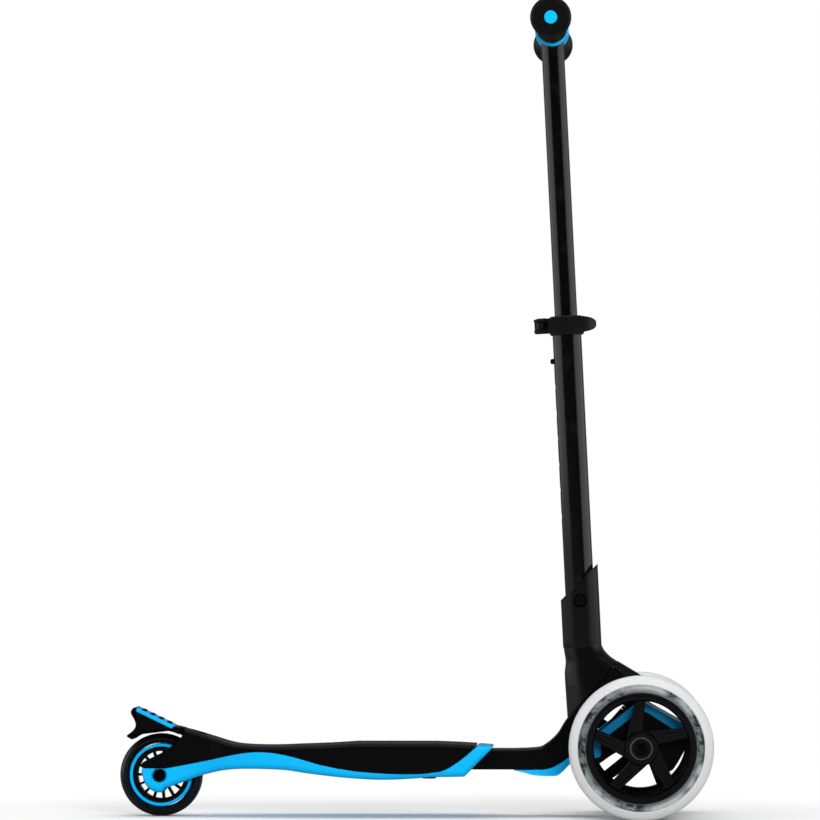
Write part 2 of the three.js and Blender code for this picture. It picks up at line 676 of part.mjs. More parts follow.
// Push button under the deck that locks the beam
function deckLock() {
  const low = deckClearance + lockWell;
  const head = post(lockButtonRadius, low - lockTravel, low + fit, lockX, 0, tubeSides);
  const tip = post(lockTipRadius, low - fit, beamBottom + lockEngagement, lockX, 0, boltSides);
  return meshOf('deck_lock_button', join(head, tip), blackPlastic);
}

// Brake
function brakeBase() {
  const profile = [brakeTopShares.front, brakeTopShares.rear, ...brakeRearShares, ...brakeFrontShares];
  const seat = sharePoints(profile, rearAxle, rearWheelRadius, rearWheelRadius);
  const wide = across(seat, -brakeHalfWidth, brakeHalfWidth);
  const tongueHalf = forkSlotHalfWidth - slack;
  const sides = [-1, 1].map((s) => {
    const ends = [s * tongueHalf, s * deckHalfWidth].sort((a, b) => a - b);
    return box([rearAxle.x + rearWheelRadius * brakeWideShare, lipX], ends, [0, cutterHeight]);
  });
  const boss = crossBar(brakeBossRadius, -tongueHalf, tongueHalf, brakePivot.x, brakePivot.z, tubeSides);
  const path = crossBar(rearWheelRadius + brakeGap, -deckHalfWidth, deckHalfWidth, rearAxle.x, rearAxle.z,
    wheelSides);
  return cut(join(wide, boss), ...sides, path);
}

function brakeSlab(lift, depth, halfWidth, trim) {
  const [rear, front] = sharePoints([brakeTopShares.rear, brakeTopShares.front], rearAxle, rearWheelRadius,
    rearWheelRadius);
  const slope = Math.atan2(front[1] - rear[1], front[0] - rear[0]);
  const length = Math.hypot(front[0] - rear[0], front[1] - rear[1]);
  const slab = new THREE.BoxGeometry(length - trim * 2, halfWidth * 2, depth);
  slab.translate(length / 2, 0, lift - depth / 2).rotateY(-slope).translate(rear[0], 0, rear[1]);
  return { solid: solidOf(slab), slope, length, rear };
}

function brakeStud(seat, row, column, radius, rise, depth) {
  const pitch = seat.length / (brakeStudRows + 1);
  const spread = (brakePadHalfWidth * 2) / (brakeStudColumns + 1);
  const stud = new THREE.CylinderGeometry(radius, radius, depth, boltSides).rotateX(Math.PI / 2);
  stud.translate((row + 1) * pitch, -brakePadHalfWidth + (column + 1) * spread, rise - depth / 2);
  return solidOf(stud.rotateY(-seat.slope).translate(seat.rear[0], 0, seat.rear[1]));
}

function brake() {
  const group = new THREE.Group();
  const seat = brakeSlab(0, brakePadThickness, brakePadHalfWidth, brakePadInset);
  const bed = brakeSlab(overrun, brakePadThickness + overrun + fit, brakePadHalfWidth + fit,
    brakePadInset - fit);
  const cells = Array.from({ length: brakeStudRows * brakeStudColumns }, (_, k) =>
    [k % brakeStudRows, Math.floor(k / brakeStudRows)]);
  const studs = cells.map(([r, c]) => brakeStud(seat, r, c, brakeStudRadius, brakeStudRise,
    brakePadThickness + brakeStudRise + brakeStudRoot));
  const holes = cells.map(([r, c]) => brakeStud(seat, r, c, brakeStudRadius + fit, overrun,
    brakePadThickness + overrun * 2));
  const pinHole = crossBar(brakePinRadius + fit, -deckHalfWidth, deckHalfWidth, brakePivot.x, brakePivot.z);
  const pocketHalf = springTurns * springWire + slack;
  const pocket = crossBar(brakeBossRadius + slack, -pocketHalf, pocketHalf, brakePivot.x, brakePivot.z,
    tubeSides);
  const fender = cut(join(cut(brakeBase(), bed.solid), ...studs), pinHole, pocket);
  group.add(meshOf('brake_fender', fender, blackPlastic));
  group.add(meshOf('brake_tread', cut(seat.solid, ...holes), bluePlastic));
  return group;
}

// Torsion spring on the brake's pin, as one wound wire
function brakeSpring() {
  const steps = springTurns * springSteps;
  const pitch = springWire + fit * 2;
  const length = springTurns * pitch;
  const rings = Array.from({ length: steps + 1 }, (_, k) => {
    const angle = (k / springSteps) * 2 * Math.PI;
    const y = -length / 2 + (k / steps) * length;
    return Array.from({ length: springSides }, (_, i) => {
      const turn = (i / springSides) * 2 * Math.PI;
      const radius = brakePinRadius + fit + (springWire / 2) * (1 + Math.cos(turn));
      return [radius * Math.cos(angle), y + (springWire / 2) * Math.sin(turn), radius * Math.sin(angle)];
    });
  });
  const spring = meshOf('brake_spring', lofted(rings), steel);
  spring.position.set(brakePivot.x, 0, brakePivot.z);
  return spring;
}

// Front frame: beam, riser and trim
const aboutFrontAxle = (shares) => sharePoints(shares, frontAxle, frontWheelRadius, frontWheelRadius);
const kingpinMiddle = { x: frontAxle.x - kingpinTrail * Math.cos(kingpinTilt),
  z: frontAxle.z + kingpinTrail * Math.sin(kingpinTilt) };

// A point of the middle plane, from how far it lies ahead of the kingpin and how far along it
function byKingpin([ahead, along]) {
  const [c, s] = [Math.cos(kingpinTilt), Math.sin(kingpinTilt)];
  return [kingpinMiddle.x + ahead * c + along * s, kingpinMiddle.z - ahead * s + along * c];
}

function kingpinPiece(solid) {
  const turn = new THREE.Matrix4().makeRotationY(kingpinTilt);
  turn.setPosition(kingpinMiddle.x, 0, kingpinMiddle.z);
  return solid.transform(turn.elements);
}

const frontReach = frontWheelRadius * 3;

function withinBeamPlan(solid) {
  const flare = beamFlareShares.map(([u, w]) => [frontAxle.x + u * frontWheelRadius, w * beamHalfWidth]);
  const plan = planOutline([[beamRear, beamHalfWidth], ...flare]);
  return solid.intersect(upright(plan, 0, frontReach));
}

function beam() {
  const knee = aboutFrontAxle(kneeTopShares);
  const under = aboutFrontAxle(kneeUnderShares);
  const riser = [[-riserFace, riserFoot], [-riserFace, riserEnd], [-riserUnderside, riserEnd],
    [-riserUnderside, -lugEnd]].map(byKingpin);
  const foot = frontAxle.x + bellyStartShare * frontWheelRadius;
  const outline = [[beamRear, beamTop], [foot, beamTop], ...knee, ...riser, ...under, [foot, beamBottom],
    [beamRear, beamBottom]];
  const body = withinBeamPlan(across(outline, -beamHalfWidth, beamHalfWidth));
  const lugs = [[lugStart, lugEnd], [-lugEnd, -lugStart]].map(([low, high]) =>
    join(post(lugRadius, low, high, 0, 0, tubeSides),
      box([-riserUnderside - overrun, 0], [-lugRadius, lugRadius], [low, high])));
  const pinHole = post(kingpinRadius + fit, -frontReach, frontReach, 0, 0, tubeSides);
  const boltHoles = [-1, 1].map((s) => join(
    rod(headBoltRadius + fit, -riserFace - overrun, -riserUnderside + overrun, s * headBoltSpread,
      headBoltAt),
    rod(headBoltHeadRadius + fit, -riserUnderside - headBoltHeadHeight - fit, -riserUnderside + overrun,
      s * headBoltSpread, headBoltAt, tubeSides)));
  const lockSlot = upright(planOutline([[lockX - lockTipRadius - slack, lockSlotHalfWidth],
    [lockX + lockSlotSpan - lockTipRadius, lockSlotHalfWidth]]), beamBottom - overrun,
      beamBottom + lockTravel * 2);
  return cut(join(body, kingpinPiece(join(...lugs))), kingpinPiece(join(pinHole, ...boltHoles)), lockSlot);
}

function bellyTrim() {
  const under = aboutFrontAxle(kneeUnderShares).map(([x, z]) => [x + fit, z - fit]);
  const start = [frontAxle.x + bellyStartShare * frontWheelRadius, beamBottom - fit];
  return withinBeamPlan(across([...aboutFrontAxle(bellyShares), ...under, start], -beamHalfWidth,
    beamHalfWidth));
}

// Cap over the riser's end, flush with the head behind it
function noseCap() {
  const outline = capShares.map(([u, v]) => byKingpin([u * riserFace, riserEnd + fit + v * riserFace]));
  const back = byKingpin([-riserFace, riserEnd + fit]);
  return withinBeamPlan(across([back, ...outline], -beamHalfWidth, beamHalfWidth));
}

function frontFrame() {
  const group = new THREE.Group();
  group.add(meshOf('front_beam', beam(), blackPlastic));
  group.add(meshOf('belly_trim', bellyTrim(), bluePlastic));
  group.add(meshOf('nose_cap', noseCap(), blackPlastic));

  const stack = new THREE.Group();
  stack.position.set(kingpinMiddle.x, 0, kingpinMiddle.z);
  stack.rotation.y = kingpinTilt;
  const headFoot = lugEnd + fit;
  const nutTop = -lugEnd - fit;
  const nutFoot = nutTop - kingpinNutHeight;
  const shank = post(kingpinRadius, nutFoot - fit, headFoot + fit, 0, 0, tubeSides);
  const hexHead = post(kingpinHeadRadius, headFoot, headFoot + kingpinHeadHeight, 0, 0, hexSides);
  stack.add(meshOf('kingpin', join(shank, hexHead), steel));
  const nut = cut(post(kingpinHeadRadius, nutFoot, nutTop, 0, 0, hexSides),
    post(kingpinRadius + fit, nutFoot - overrun, nutTop + overrun, 0, 0, tubeSides));
  stack.add(meshOf('kingpin_nut', nut, steel));
  const [low, high] = [barrelHalfHeight + fit, barrelHalfHeight + fit + bushingHeight];
  stack.add(meshOf('kingpin_bushing_upper', ringUp(kingpinRadius + fit, barrelRadius, low, high),
    elastomer));
  stack.add(meshOf('kingpin_bushing_lower', ringUp(kingpinRadius + fit, barrelRadius, -high, -low),
    elastomer));
  for (const [side, s] of [['right', -1], ['left', 1]]) {
    const headEnd = -riserUnderside - fit;
    const headStart = headEnd - headBoltHeadHeight + fit;
    const bolt = join(rod(headBoltRadius, -riserFace - headBoltReach, headStart + fit, s * headBoltSpread,
      headBoltAt),
      rod(headBoltHeadRadius, headStart, headEnd, s * headBoltSpread, headBoltAt, tubeSides));
    const well = rod(headBoltRadius * hexWellShares.radius,
      headEnd - headBoltHeadHeight * hexWellShares.depth,
      headEnd + overrun, s * headBoltSpread, headBoltAt, hexSides);
    stack.add(meshOf(`head_bolt_${side}`, cut(bolt, well), darkSteel));
  }
  group.add(stack);
  return group;
}

// Truck: the cross-piece that carries both front wheels and turns on the kingpin
const trimBand = () => across(aboutFrontAxle([...truckTrimOuterShares, ...truckTrimInnerShares]),
  -truckHalfWidth, truckHalfWidth);
const besideChannel = (solid, side, inner) => {
  const ends = [side * inner, side * (truckHalfWidth + overrun)].sort((a, b) => a - b);
  return solid.intersect(box([0, frontReach * 2], ends, [0, frontReach]));
};

function truckBody() {
  const outline = aboutFrontAxle([...truckTrimOuterShares, ...truckLowerShares]);
  const channel = kingpinPiece(box([-frontReach, truckChannelDepth],
    [-truckChannelHalfWidth, truckChannelHalfWidth],
    [-frontReach, frontReach]));
  const band = trimBand();
  const seats = [[0, 0], [fit, -fit], [-fit, -fit], [fit, 0]].map(([dx, dz]) => band.translate([dx, 0, dz]));
  const trimInner = truckChannelHalfWidth - fit;
  const trimSeats = [-1, 1].flatMap((s) => seats.map((seat) => besideChannel(seat, s, trimInner)));
  const fairing = cut(across(outline, -truckHalfWidth, truckHalfWidth), channel, ...trimSeats);
  const barrel = kingpinPiece(post(barrelRadius, -barrelHalfHeight, barrelHalfHeight, 0, 0, tubeSides));
  const armEnd = frontHalfTrack - wheelWidth / 2 - axleArmGap;
  const bossEnd = armEnd + axleArmGap - fit;
  const arms = join(crossBar(axleArmRadius, -armEnd, armEnd, frontAxle.x, frontAxle.z, tubeSides),
    crossBar(spacerRadius, -bossEnd, bossEnd, frontAxle.x, frontAxle.z, tubeSides));
  const roomRadius = lugRadius + lugRoom;
  const rooms = [[barrelHalfHeight, frontReach], [-frontReach, -barrelHalfHeight]].map(([low, high]) =>
    kingpinPiece(post(roomRadius, low, high, 0, 0, tubeSides)));
  const bore = kingpinPiece(post(kingpinRadius + fit, -frontReach, frontReach, 0, 0, tubeSides));
  const axleHoles = [-1, 1].map((s) => {
    const ends = [s * frontReach, s * (axleBoltStart - fit)].sort((a, b) => a - b);
    return crossBar(axleRadius + fit, ends[0], ends[1], frontAxle.x, frontAxle.z);
  });
  return cut(join(fairing, barrel, arms), bore, ...rooms, ...axleHoles);
}

function truck() {
  const group = new THREE.Group();
  group.add(meshOf('truck', truckBody(), blackPlastic));
  for (const [side, s] of [['right', -1], ['left', 1]]) {
    group.add(meshOf(`truck_trim_${side}`, besideChannel(trimBand(), s, truckChannelHalfWidth),
      bluePlastic));
    const headAt = frontHalfTrack + wheelWidth / 2 + fit;
    const shank = crossBar(axleRadius, axleBoltStart, headAt + fit, 0, 0);
    const headEnd = headAt + boltHeadHeight;
    const head = crossBar(frontBoltHeadRadius, headAt, headEnd, 0, 0, tubeSides);
    const well = crossBar(axleRadius * hexWellShares.radius, headEnd - boltHeadHeight * hexWellShares.depth,
      headEnd + overrun, 0, 0, hexSides);
    const bolt = meshOf(`front_axle_bolt_${side}`, cut(join(shank, head), well), darkSteel);
    if (s < 0) bolt.rotation.z = Math.PI;
    bolt.position.set(frontAxle.x, 0, frontAxle.z);
    group.add(bolt);
    const wheel = frontWheel(side, s < 0 ? rightSpokePhase : leftSpokePhase);
    wheel.position.set(frontAxle.x, s * frontHalfTrack, frontAxle.z);
    group.add(wheel);
  }
  return group;
}

// Everything on the stem, in the stem's own frame
const stemFoot = { x: frontAxle.x - stemSetback, z: stemFootHeight };

function stemPiece(solid) {
  const turn = new THREE.Matrix4().makeRotationY(-stemLean);
  turn.setPosition(stemFoot.x, 0, stemFoot.z);
  return solid.transform(turn.elements);
}

function headRing([height, back, front, half]) {
  const x = stemFoot.x - (socketWaistHeight - stemFootHeight) * Math.tan(stemLean);
  const z = socketWaistHeight + height * socketRadius;
  return Array.from({ length: headSides }, (_, i) => {
    const angle = (i / headSides) * 2 * Math.PI;
    const [c, s] = [Math.cos(angle), Math.sin(angle)];
    const along = Math.sign(c) * Math.abs(c) ** (2 / headSquareness);
    const aside = Math.sign(s) * Math.abs(s) ** (2 / headSquareness);
    const middle = (front + back) / 2;
    const reach = (front - back) / 2;
    return [x + socketRadius * (middle + reach * along), socketRadius * half * aside, z];
  });
}

function slopeCut(at, slope, reach) {
  const geometry = new THREE.BoxGeometry(reach, reach, reach).translate(0, 0, reach / 2);
  return solidOf(geometry.rotateY(-slope).translate(0, 0, at));
}

function head() {
  const skirt = lofted(headRingShares.map(headRing).reverse());
  const socket = stemPiece(post(socketRadius, stemAt(socketWaistHeight) - fit,
    socketRimAt + socketRadius * 2, 0, 0,
    headSides));
  const rim = stemPiece(slopeCut(socketRimAt, socketRimSlope, frontReach));
  const tubeBore = stemPiece(post(outerTubeRadius + fit, -fit, frontReach, 0, 0, tubeSides));
  const seam = riserFace + fit;
  const under = kingpinPiece(box([-seam, frontReach], [-frontReach, frontReach], [-frontReach, frontReach]));
  const wells = [-1, 1].map((s) => {
    const ends = [s * (outerTubeRadius - slack), s * (socketRadius + overrun)].sort((a, b) => a - b);
    return stemPiece(crossBar(stemButtonRecess, ends[0], ends[1], 0, stemButtonAt, tubeSides));
  });
  const boltHoles = [-1, 1].map((s) => kingpinPiece(rod(headBoltRadius + fit, -seam - headBoltReach,
    -seam + overrun,
    s * headBoltSpread, headBoltAt)));
  return cut(join(skirt, socket), rim, tubeBore, under, ...wells, ...boltHoles);
}

function outerTube() {
  const tube = ringUp(outerTubeBore, outerTubeRadius, 0, outerTubeTop);
  const sleeveSeat = post(innerTubeRadius + fit + sleeveWall + fit, outerTubeTop - sleeveLength - fit,
    outerTubeTop + overrun, 0, 0, tubeSides);
  const holes = Array.from({ length: heightHoleCount }, (_, k) =>
    rod(heightButtonRadius + fit, -outerTubeRadius - overrun, 0, 0, heightButtonAt - k * heightStep));
  const snapHole = crossBar(stemButtonRadius + fit, -outerTubeRadius - overrun, outerTubeRadius + overrun, 0,
    stemButtonAt, tubeSides);
  return cut(tube, sleeveSeat, ...holes, snapHole);
}

function clamp() {
  const group = new THREE.Group();
  const low = clampTop - clampHeight;
  const middle = clampTop - clampHeight / 2;
  const wide = post(clampRadius, low, clampTop, 0, 0, tubeSides);
  const leverSpan = [middle - leverHalfHeight, middle + leverHalfHeight];
  const ears = box([-earReach, -outerTubeRadius], [-earOuter, earOuter], leverSpan);
  const bore = post(outerTubeRadius + fit, low - overrun, clampTop + overrun, 0, 0, tubeSides);
  const gap = box([-earReach - overrun, -outerTubeRadius + overrun], [-earHalfGap, earHalfGap],
    [low - overrun, clampTop + overrun]);
  const boltHole = crossBar(clampBoltRadius + fit, -earOuter - overrun, earOuter + overrun, leverPivot.x,
    middle);
  group.add(meshOf('clamp_collar', cut(join(wide, ears), bore, gap, boltHole), blackPlastic));

  const eye = post(boltEyeRadius, middle - boltEyeHalfHeight, middle + boltEyeHalfHeight, leverPivot.x,
    leverPivot.y, tubeSides);
  const shank = crossBar(clampBoltRadius, leverPivot.y, earOuter + clampNutHeight, leverPivot.x, middle);
  const pinHole = post(leverPinRadius + fit, low, clampTop, leverPivot.x, leverPivot.y);
  group.add(meshOf('clamp_bolt', cut(join(eye, shank), pinHole), steel));
  const nutEnd = earOuter + clampNutHeight;
  const nut = cut(crossBar(clampNutRadius, earOuter + fit, nutEnd + clampNutCap, leverPivot.x, middle,
    hexSides),
    crossBar(clampBoltRadius + fit, 0, nutEnd + fit, leverPivot.x, middle));
  group.add(meshOf('clamp_nut', nut, darkSteel));
  group.add(meshOf('clamp_lever_pin', post(leverPinRadius, ...leverSpan, leverPivot.x, leverPivot.y),
    steel));

  const leverShares = [...leverOuterShares, ...leverInnerShares];
  const outline = leverShares.map(([u, v]) => [u * leverReach, v * leverDepth]);
  const blade = upright(outline, ...leverSpan);
  const barrel = post(leverBarrelRadius, ...leverSpan, leverPivot.x, leverPivot.y, tubeSides);
  const eyeWell = post(leverBarrelRadius + boltEyeRoom, middle - boltEyeHalfHeight - fit,
    middle + boltEyeHalfHeight + fit, leverPivot.x, leverPivot.y, tubeSides);
  const leverSolid = cut(join(blade, barrel), eyeWell, pinHole);
  group.add(meshOf('clamp_lever', leverSolid, blackPlastic));
  return group;
}

function grip() {
  const end = handlebarHalfWidth;
  const start = tJointHalfLength + gripGap;
  const bore = innerTubeRadius + fit;
  const shoulder = end - gripFlangeThickness;
  const profile = [[bore, start], [gripInnerFlange, start],
    [gripInnerFlange, start + gripFlangeThickness / 2],
    [gripRadius, start + gripFlangeThickness], [gripRadius, shoulder - gripFlangeThickness],
    [gripFlangeRadius, shoulder], [gripFlangeRadius, end - gripEndWall / 2],
    [gripFlangeRadius - gripEndWall / 2, end], [barPlugRadius + fit, end],
    [barPlugRadius + fit, end - gripEndWall], [bore, end - gripEndWall]];
  return turned(profile, tubeSides);
}

function handlebar() {
  const group = new THREE.Group();
  const bottom = heightButtonAt - innerTubeBelowButton;
  const tube = ringUp(innerTubeBore, innerTubeRadius, bottom, crossTubeAt);
  const crossSpace = crossBar(innerTubeRadius + fit, -handlebarHalfWidth, handlebarHalfWidth, 0,
    crossTubeAt, tubeSides);
  const buttonHole = rod(heightButtonRadius + fit, -innerTubeRadius - overrun, 0, 0, heightButtonAt);
  group.add(meshOf('inner_tube', cut(tube, crossSpace, buttonHole), blackPaint));

  const barEnd = handlebarHalfWidth - gripEndWall - fit;
  const bar = cut(crossBar(innerTubeRadius, -barEnd, barEnd, 0, crossTubeAt, tubeSides),
    crossBar(innerTubeBore, -barEnd - overrun, barEnd + overrun, 0, crossTubeAt, tubeSides));
  group.add(meshOf('cross_tube', bar, blackPaint));
  const sleeve = cut(crossBar(tJointRadius, -tJointHalfLength, tJointHalfLength, 0, crossTubeAt, tubeSides),
    crossBar(innerTubeRadius + fit, -tJointHalfLength - overrun, tJointHalfLength + overrun, 0, crossTubeAt,
      tubeSides), post(innerTubeRadius + fit, 0, crossTubeAt, 0, 0, tubeSides));
  group.add(meshOf('t_joint', sleeve, bluePlastic));
  for (const [side, s] of [['right', -1], ['left', 1]]) {
    const rubber = meshOf(`grip_${side}`, grip(), blackRubber);
    const plugRadius = innerTubeBore - fit * 2;
    const plug = turned([[0, handlebarHalfWidth - barPlugLength],
      [plugRadius, handlebarHalfWidth - barPlugLength],
      [plugRadius, handlebarHalfWidth - barPlugShoulder], [barPlugRadius, handlebarHalfWidth - gripEndWall],
      [barPlugRadius, handlebarHalfWidth - fit], [0, handlebarHalfWidth - fit]], tubeSides);
    const cap = meshOf(`bar_plug_${side}`, plug, bluePlastic);
    for (const piece of [rubber, cap]) {
      piece.position.z = crossTubeAt;
      if (s < 0) piece.rotation.z = Math.PI;
      group.add(piece);
    }
  }
  const button = rod(heightButtonRadius, -outerTubeRadius - heightButtonRise,
    -innerTubeRadius + heightButtonRoot, 0,
    heightButtonAt);
  group.add(meshOf('height_button', button, blackPlastic));
  return group;
}

function stem() {
  const group = new THREE.Group();
  group.position.set(stemFoot.x, 0, stemFoot.z);
  group.rotation.y = -stemLean;
  group.add(meshOf('outer_tube', outerTube(), blackPaint));
  const sleeveInner = innerTubeRadius + fit;
  const sleeveOuter = sleeveInner + sleeveWall;
  const sleeveTop = outerTubeTop + sleeveFlange;
  const sleeve = turnedUp([[sleeveInner, outerTubeTop - sleeveLength],
    [sleeveOuter, outerTubeTop - sleeveLength],
    [sleeveOuter, outerTubeTop + fit], [outerTubeRadius - fit, outerTubeTop + fit],
      [outerTubeRadius - fit, sleeveTop],
    [sleeveInner, sleeveTop]]);
  group.add(meshOf('tube_sleeve', sleeve, blackPlastic));
  group.add(clamp(), handlebar());
  for (const [side, s] of [['right', -1], ['left', 1]]) {
    const root = outerTubeBore - fit * 2 - stemButtonRise;
    const ends = [s * root, s * (socketRadius + stemButtonRise - fit)].sort((a, b) => a - b);
    const button = crossBar(stemButtonRadius, ends[0], ends[1], 0, stemButtonAt, tubeSides);
    group.add(meshOf(`stem_button_${side}`, button, darkSteel));
  }
  return group;
}

const scooter = new THREE.Group();
scooter.add(deck(), deckLock(), brake(), brakeSpring(), rearWheel(), frontFrame(), truck());
scooter.add(meshOf('head', head(), blackPlastic), stem());

export default scooter;
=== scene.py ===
# %% [markdown]
# A child's three-wheel scooter: two large clear wheels in front on a truck that leans, one small wheel
# behind in the fork of the deck, and a T-shaped handlebar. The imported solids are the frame. They carry
# the sizes, the places and the joints, and this notebook models the fine shapes that stand in for them.
# A finer piece could be placed by eye, but then it would drift from the solids. Instead the places are
# read from the frame, and the rest are named lengths in millimetres.

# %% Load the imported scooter
import json
import math

import bmesh
import bpy
from mathutils import Matrix, Vector


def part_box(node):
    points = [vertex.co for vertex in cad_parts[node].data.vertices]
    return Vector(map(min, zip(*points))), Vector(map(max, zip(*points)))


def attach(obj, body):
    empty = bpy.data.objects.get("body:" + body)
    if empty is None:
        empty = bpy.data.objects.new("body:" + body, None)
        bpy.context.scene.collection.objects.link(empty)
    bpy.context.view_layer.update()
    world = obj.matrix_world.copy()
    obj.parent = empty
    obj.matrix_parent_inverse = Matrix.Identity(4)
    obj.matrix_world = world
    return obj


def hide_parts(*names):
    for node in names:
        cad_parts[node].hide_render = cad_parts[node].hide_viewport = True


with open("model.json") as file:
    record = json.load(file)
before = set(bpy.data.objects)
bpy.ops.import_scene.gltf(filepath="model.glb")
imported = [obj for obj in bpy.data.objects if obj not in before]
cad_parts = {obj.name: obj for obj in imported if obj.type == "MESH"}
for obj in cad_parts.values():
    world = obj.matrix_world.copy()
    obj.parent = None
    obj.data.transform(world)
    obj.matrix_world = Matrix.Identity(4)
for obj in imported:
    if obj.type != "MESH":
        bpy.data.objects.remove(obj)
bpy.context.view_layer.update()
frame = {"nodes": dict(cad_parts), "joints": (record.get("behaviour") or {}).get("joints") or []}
MM = 0.001
joints = {joint["name"]: joint for joint in frame["joints"]}


def corners(node):
    low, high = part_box(node)
    return low / MM, high / MM


def middle(node):
    low, high = corners(node)
    return (low + high) / 2


rear_axle = middle("rear_tyre")
front_axle = middle("front_tyre_right")
half_track = -front_axle.y
front_radius = front_axle.z
rear_radius = rear_axle.z
wheel_half = corners("front_tyre_right")[1].y - front_axle.y
print("axles", tuple(rear_axle), tuple(front_axle))

# %% [markdown]
# Three lines carry most of the pieces. The wheels turn about lines across the scooter, the handlebar
# slides along the stem, and the truck turns about the kingpin, which rises forward. A piece is easiest
# to draw about its own line, so each line gets a matrix whose Z axis runs along it.

# %% Frames for the pieces
def line_turn(joint):
    axis = joints[joint]["axis"]
    return math.atan2(axis[0], axis[2])


def tilted(place, turn):
    return Matrix.Translation(place) @ Matrix.Rotation(turn, 4, "Y")


def outward(place, sign):
    """Local Z points away from the middle: to the left where the sign is 1, to the right where it is -1."""
    return Matrix.Translation(place) @ Matrix.Rotation(-sign * math.pi / 2, 4, "X")


def across(place):
    """Local X is forward, local Y is up and local Z points to the scooter's right."""
    return outward(place, -1)


SIDE = across((0, 0, 0))
UPRIGHT = Matrix.Identity(4)
STEM_SETBACK = 54.6
STEM_FOOT = 134.0
stem_turn = line_turn("handle_height")
stem = tilted((front_axle.x - STEM_SETBACK, 0, STEM_FOOT), stem_turn)
kingpin = tilted(Vector(joints["lean_steer"]["pos_m"]) / MM, line_turn("lean_steer"))


def stem_at(height):
    return (height - STEM_FOOT) / math.cos(stem_turn)


stem_lean, kingpin_lean = (math.degrees(line_turn(joint)) for joint in ("handle_height", "lean_steer"))
print("stem leans", round(-stem_lean, 2), "kingpin", round(kingpin_lean, 2))

# %% [markdown]
# Moulded and turned pieces come from three plain operations: turn a profile about a line, push an
# outline through a thickness, or skin a row of rings. Each could be a stack of modifiers on a primitive,
# but points that are worked out from named sizes keep the outline exact. A shape here is a pair, its
# points in millimetres and its faces, until a piece is made of it.

# %% Outlines
def rounded(points, radius, steps=3):
    """The closed outline with each corner turned into a small arc."""
    radii = radius if isinstance(radius, (list, tuple)) else [radius] * len(points)
    out = []
    for i, corner in enumerate(points):
        here = Vector(corner)
        before = Vector(points[i - 1]) - here
        after = Vector(points[(i + 1) % len(points)]) - here
        start = here + before.normalized() * min(radii[i], before.length * 0.48)
        end = here + after.normalized() * min(radii[i], after.length * 0.48)
        for k in range(steps + 1):
            t = k / steps
            out.append(tuple(start.lerp(here, t).lerp(here.lerp(end, t), t)))
    return out


def smooth_line(points, steps=6):
    """A Catmull-Rom curve through the points, which may have any number of coordinates."""
    out = []
    last = len(points) - 1
    for k in range(last):
        p = [Vector(points[min(max(k + d, 0), last)]) for d in (-1, 0, 1, 2)]
        for i in range(steps):
            t = i / steps
            a = 2 * p[1] + (p[2] - p[0]) * t
            b = (2 * p[0] - 5 * p[1] + 4 * p[2] - p[3]) * t * t
            c = (3 * p[1] - p[0] - 3 * p[2] + p[3]) * t ** 3
            out.append(tuple((a + b + c) / 2))
    out.append(tuple(points[last]))
    return out


def value_at(line, x):
    """The second coordinate of a line of points at x, straight between them."""
    if x <= line[0][0]:
        return line[0][1]
    for (x0, z0), (x1, z1) in zip(line, line[1:]):
        if x <= x1:
            return z0 + (z1 - z0) * (x - x0) / max(x1 - x0, 1e-9)
    return line[-1][1]


def about(centre, size, shares):
    """Points given as shares of a size from a centre in the side view."""
    return [(centre.x + u * size, centre.z + v * size) for u, v in shares]


def circle(radius, sides, x=0.0, y=0.0, start=0.0):
    turns = [start + 2 * math.pi * k / sides for k in range(sides)]
    return [(x + radius * math.cos(a), y + radius * math.sin(a)) for a in turns]


SQUARE = [(0, 0), (1, 0), (1, 1), (0, 1)]
print("a rounded square has", len(rounded(SQUARE, 0.2)), "points")

# %% [markdown]
# The operations themselves are short. A profile may touch its axis, where the ring shrinks to one point,
# and skinned rings need the same number of points. Bars, rings, discs and blocks are outlines that come
# back so often that they get names.

# %% Shapes
def turned(profile, sides=96):
    """The closed profile of (radius, height) points turned about local Z."""
    points, rings, faces = [], [], []
    for radius, height in profile:
        if radius < 1e-6:
            rings.append([len(points)] * sides)
            points.append((0, 0, height))
            continue
        rings.append(list(range(len(points), len(points) + sides)))
        points += [(x, y, height) for x, y in circle(radius, sides)]
    for a, b in zip(rings, rings[1:] + rings[:1]):
        for i in range(sides):
            face = tuple(dict.fromkeys((a[i], a[i - 1], b[i - 1], b[i])))
            if len(face) > 2:
                faces.append(face)
    return points, faces


def skinned(rings):
    """Rings of the same number of points, joined into a closed body."""
    count = len(rings[0])
    points = [tuple(p) for ring in rings for p in ring]
    faces = [tuple(range(count)), tuple(range(len(points) - count, len(points)))]
    for k in range(len(rings) - 1):
        for i in range(count):
            j = (i + 1) % count
            faces.append((k * count + i, k * count + j, (k + 1) * count + j, (k + 1) * count + i))
    return points, faces


def slab(outline, low, high):
    """The outline in local X and Y, pushed from low to high along local Z."""
    return skinned([[(x, y, z) for x, y in outline] for z in (low, high)])


def ring(inner, outer, low, high, edge=0.4, sides=96):
    return turned(rounded([(inner, low), (outer, low), (outer, high), (inner, high)], edge), sides)


def disc(radius, low, high, edge=0.4, sides=64):
    step = edge * 0.3
    foot = [(0, low), (radius - edge, low), (radius - step, low + step), (radius, low + edge)]
    crown = [(radius, high - edge), (radius - step, high - step), (radius - edge, high), (0, high)]
    return turned(foot + crown, sides)


def rod(radius, low, high, sides=40):
    """A round bar or bore along local Z."""
    return slab(circle(radius, sides), low, high)


def block(x, y, z, edge=0.0):
    """A box from pairs of ends, its upright edges rounded."""
    plan = [(x[0], y[0]), (x[1], y[0]), (x[1], y[1]), (x[0], y[1])]
    return slab(rounded(plan, edge) if edge else plan, z[0], z[1])


cube = slab(SQUARE, 0, 1)
print("a cube has", len(cube[0]), "points and", len(cube[1]), "faces")

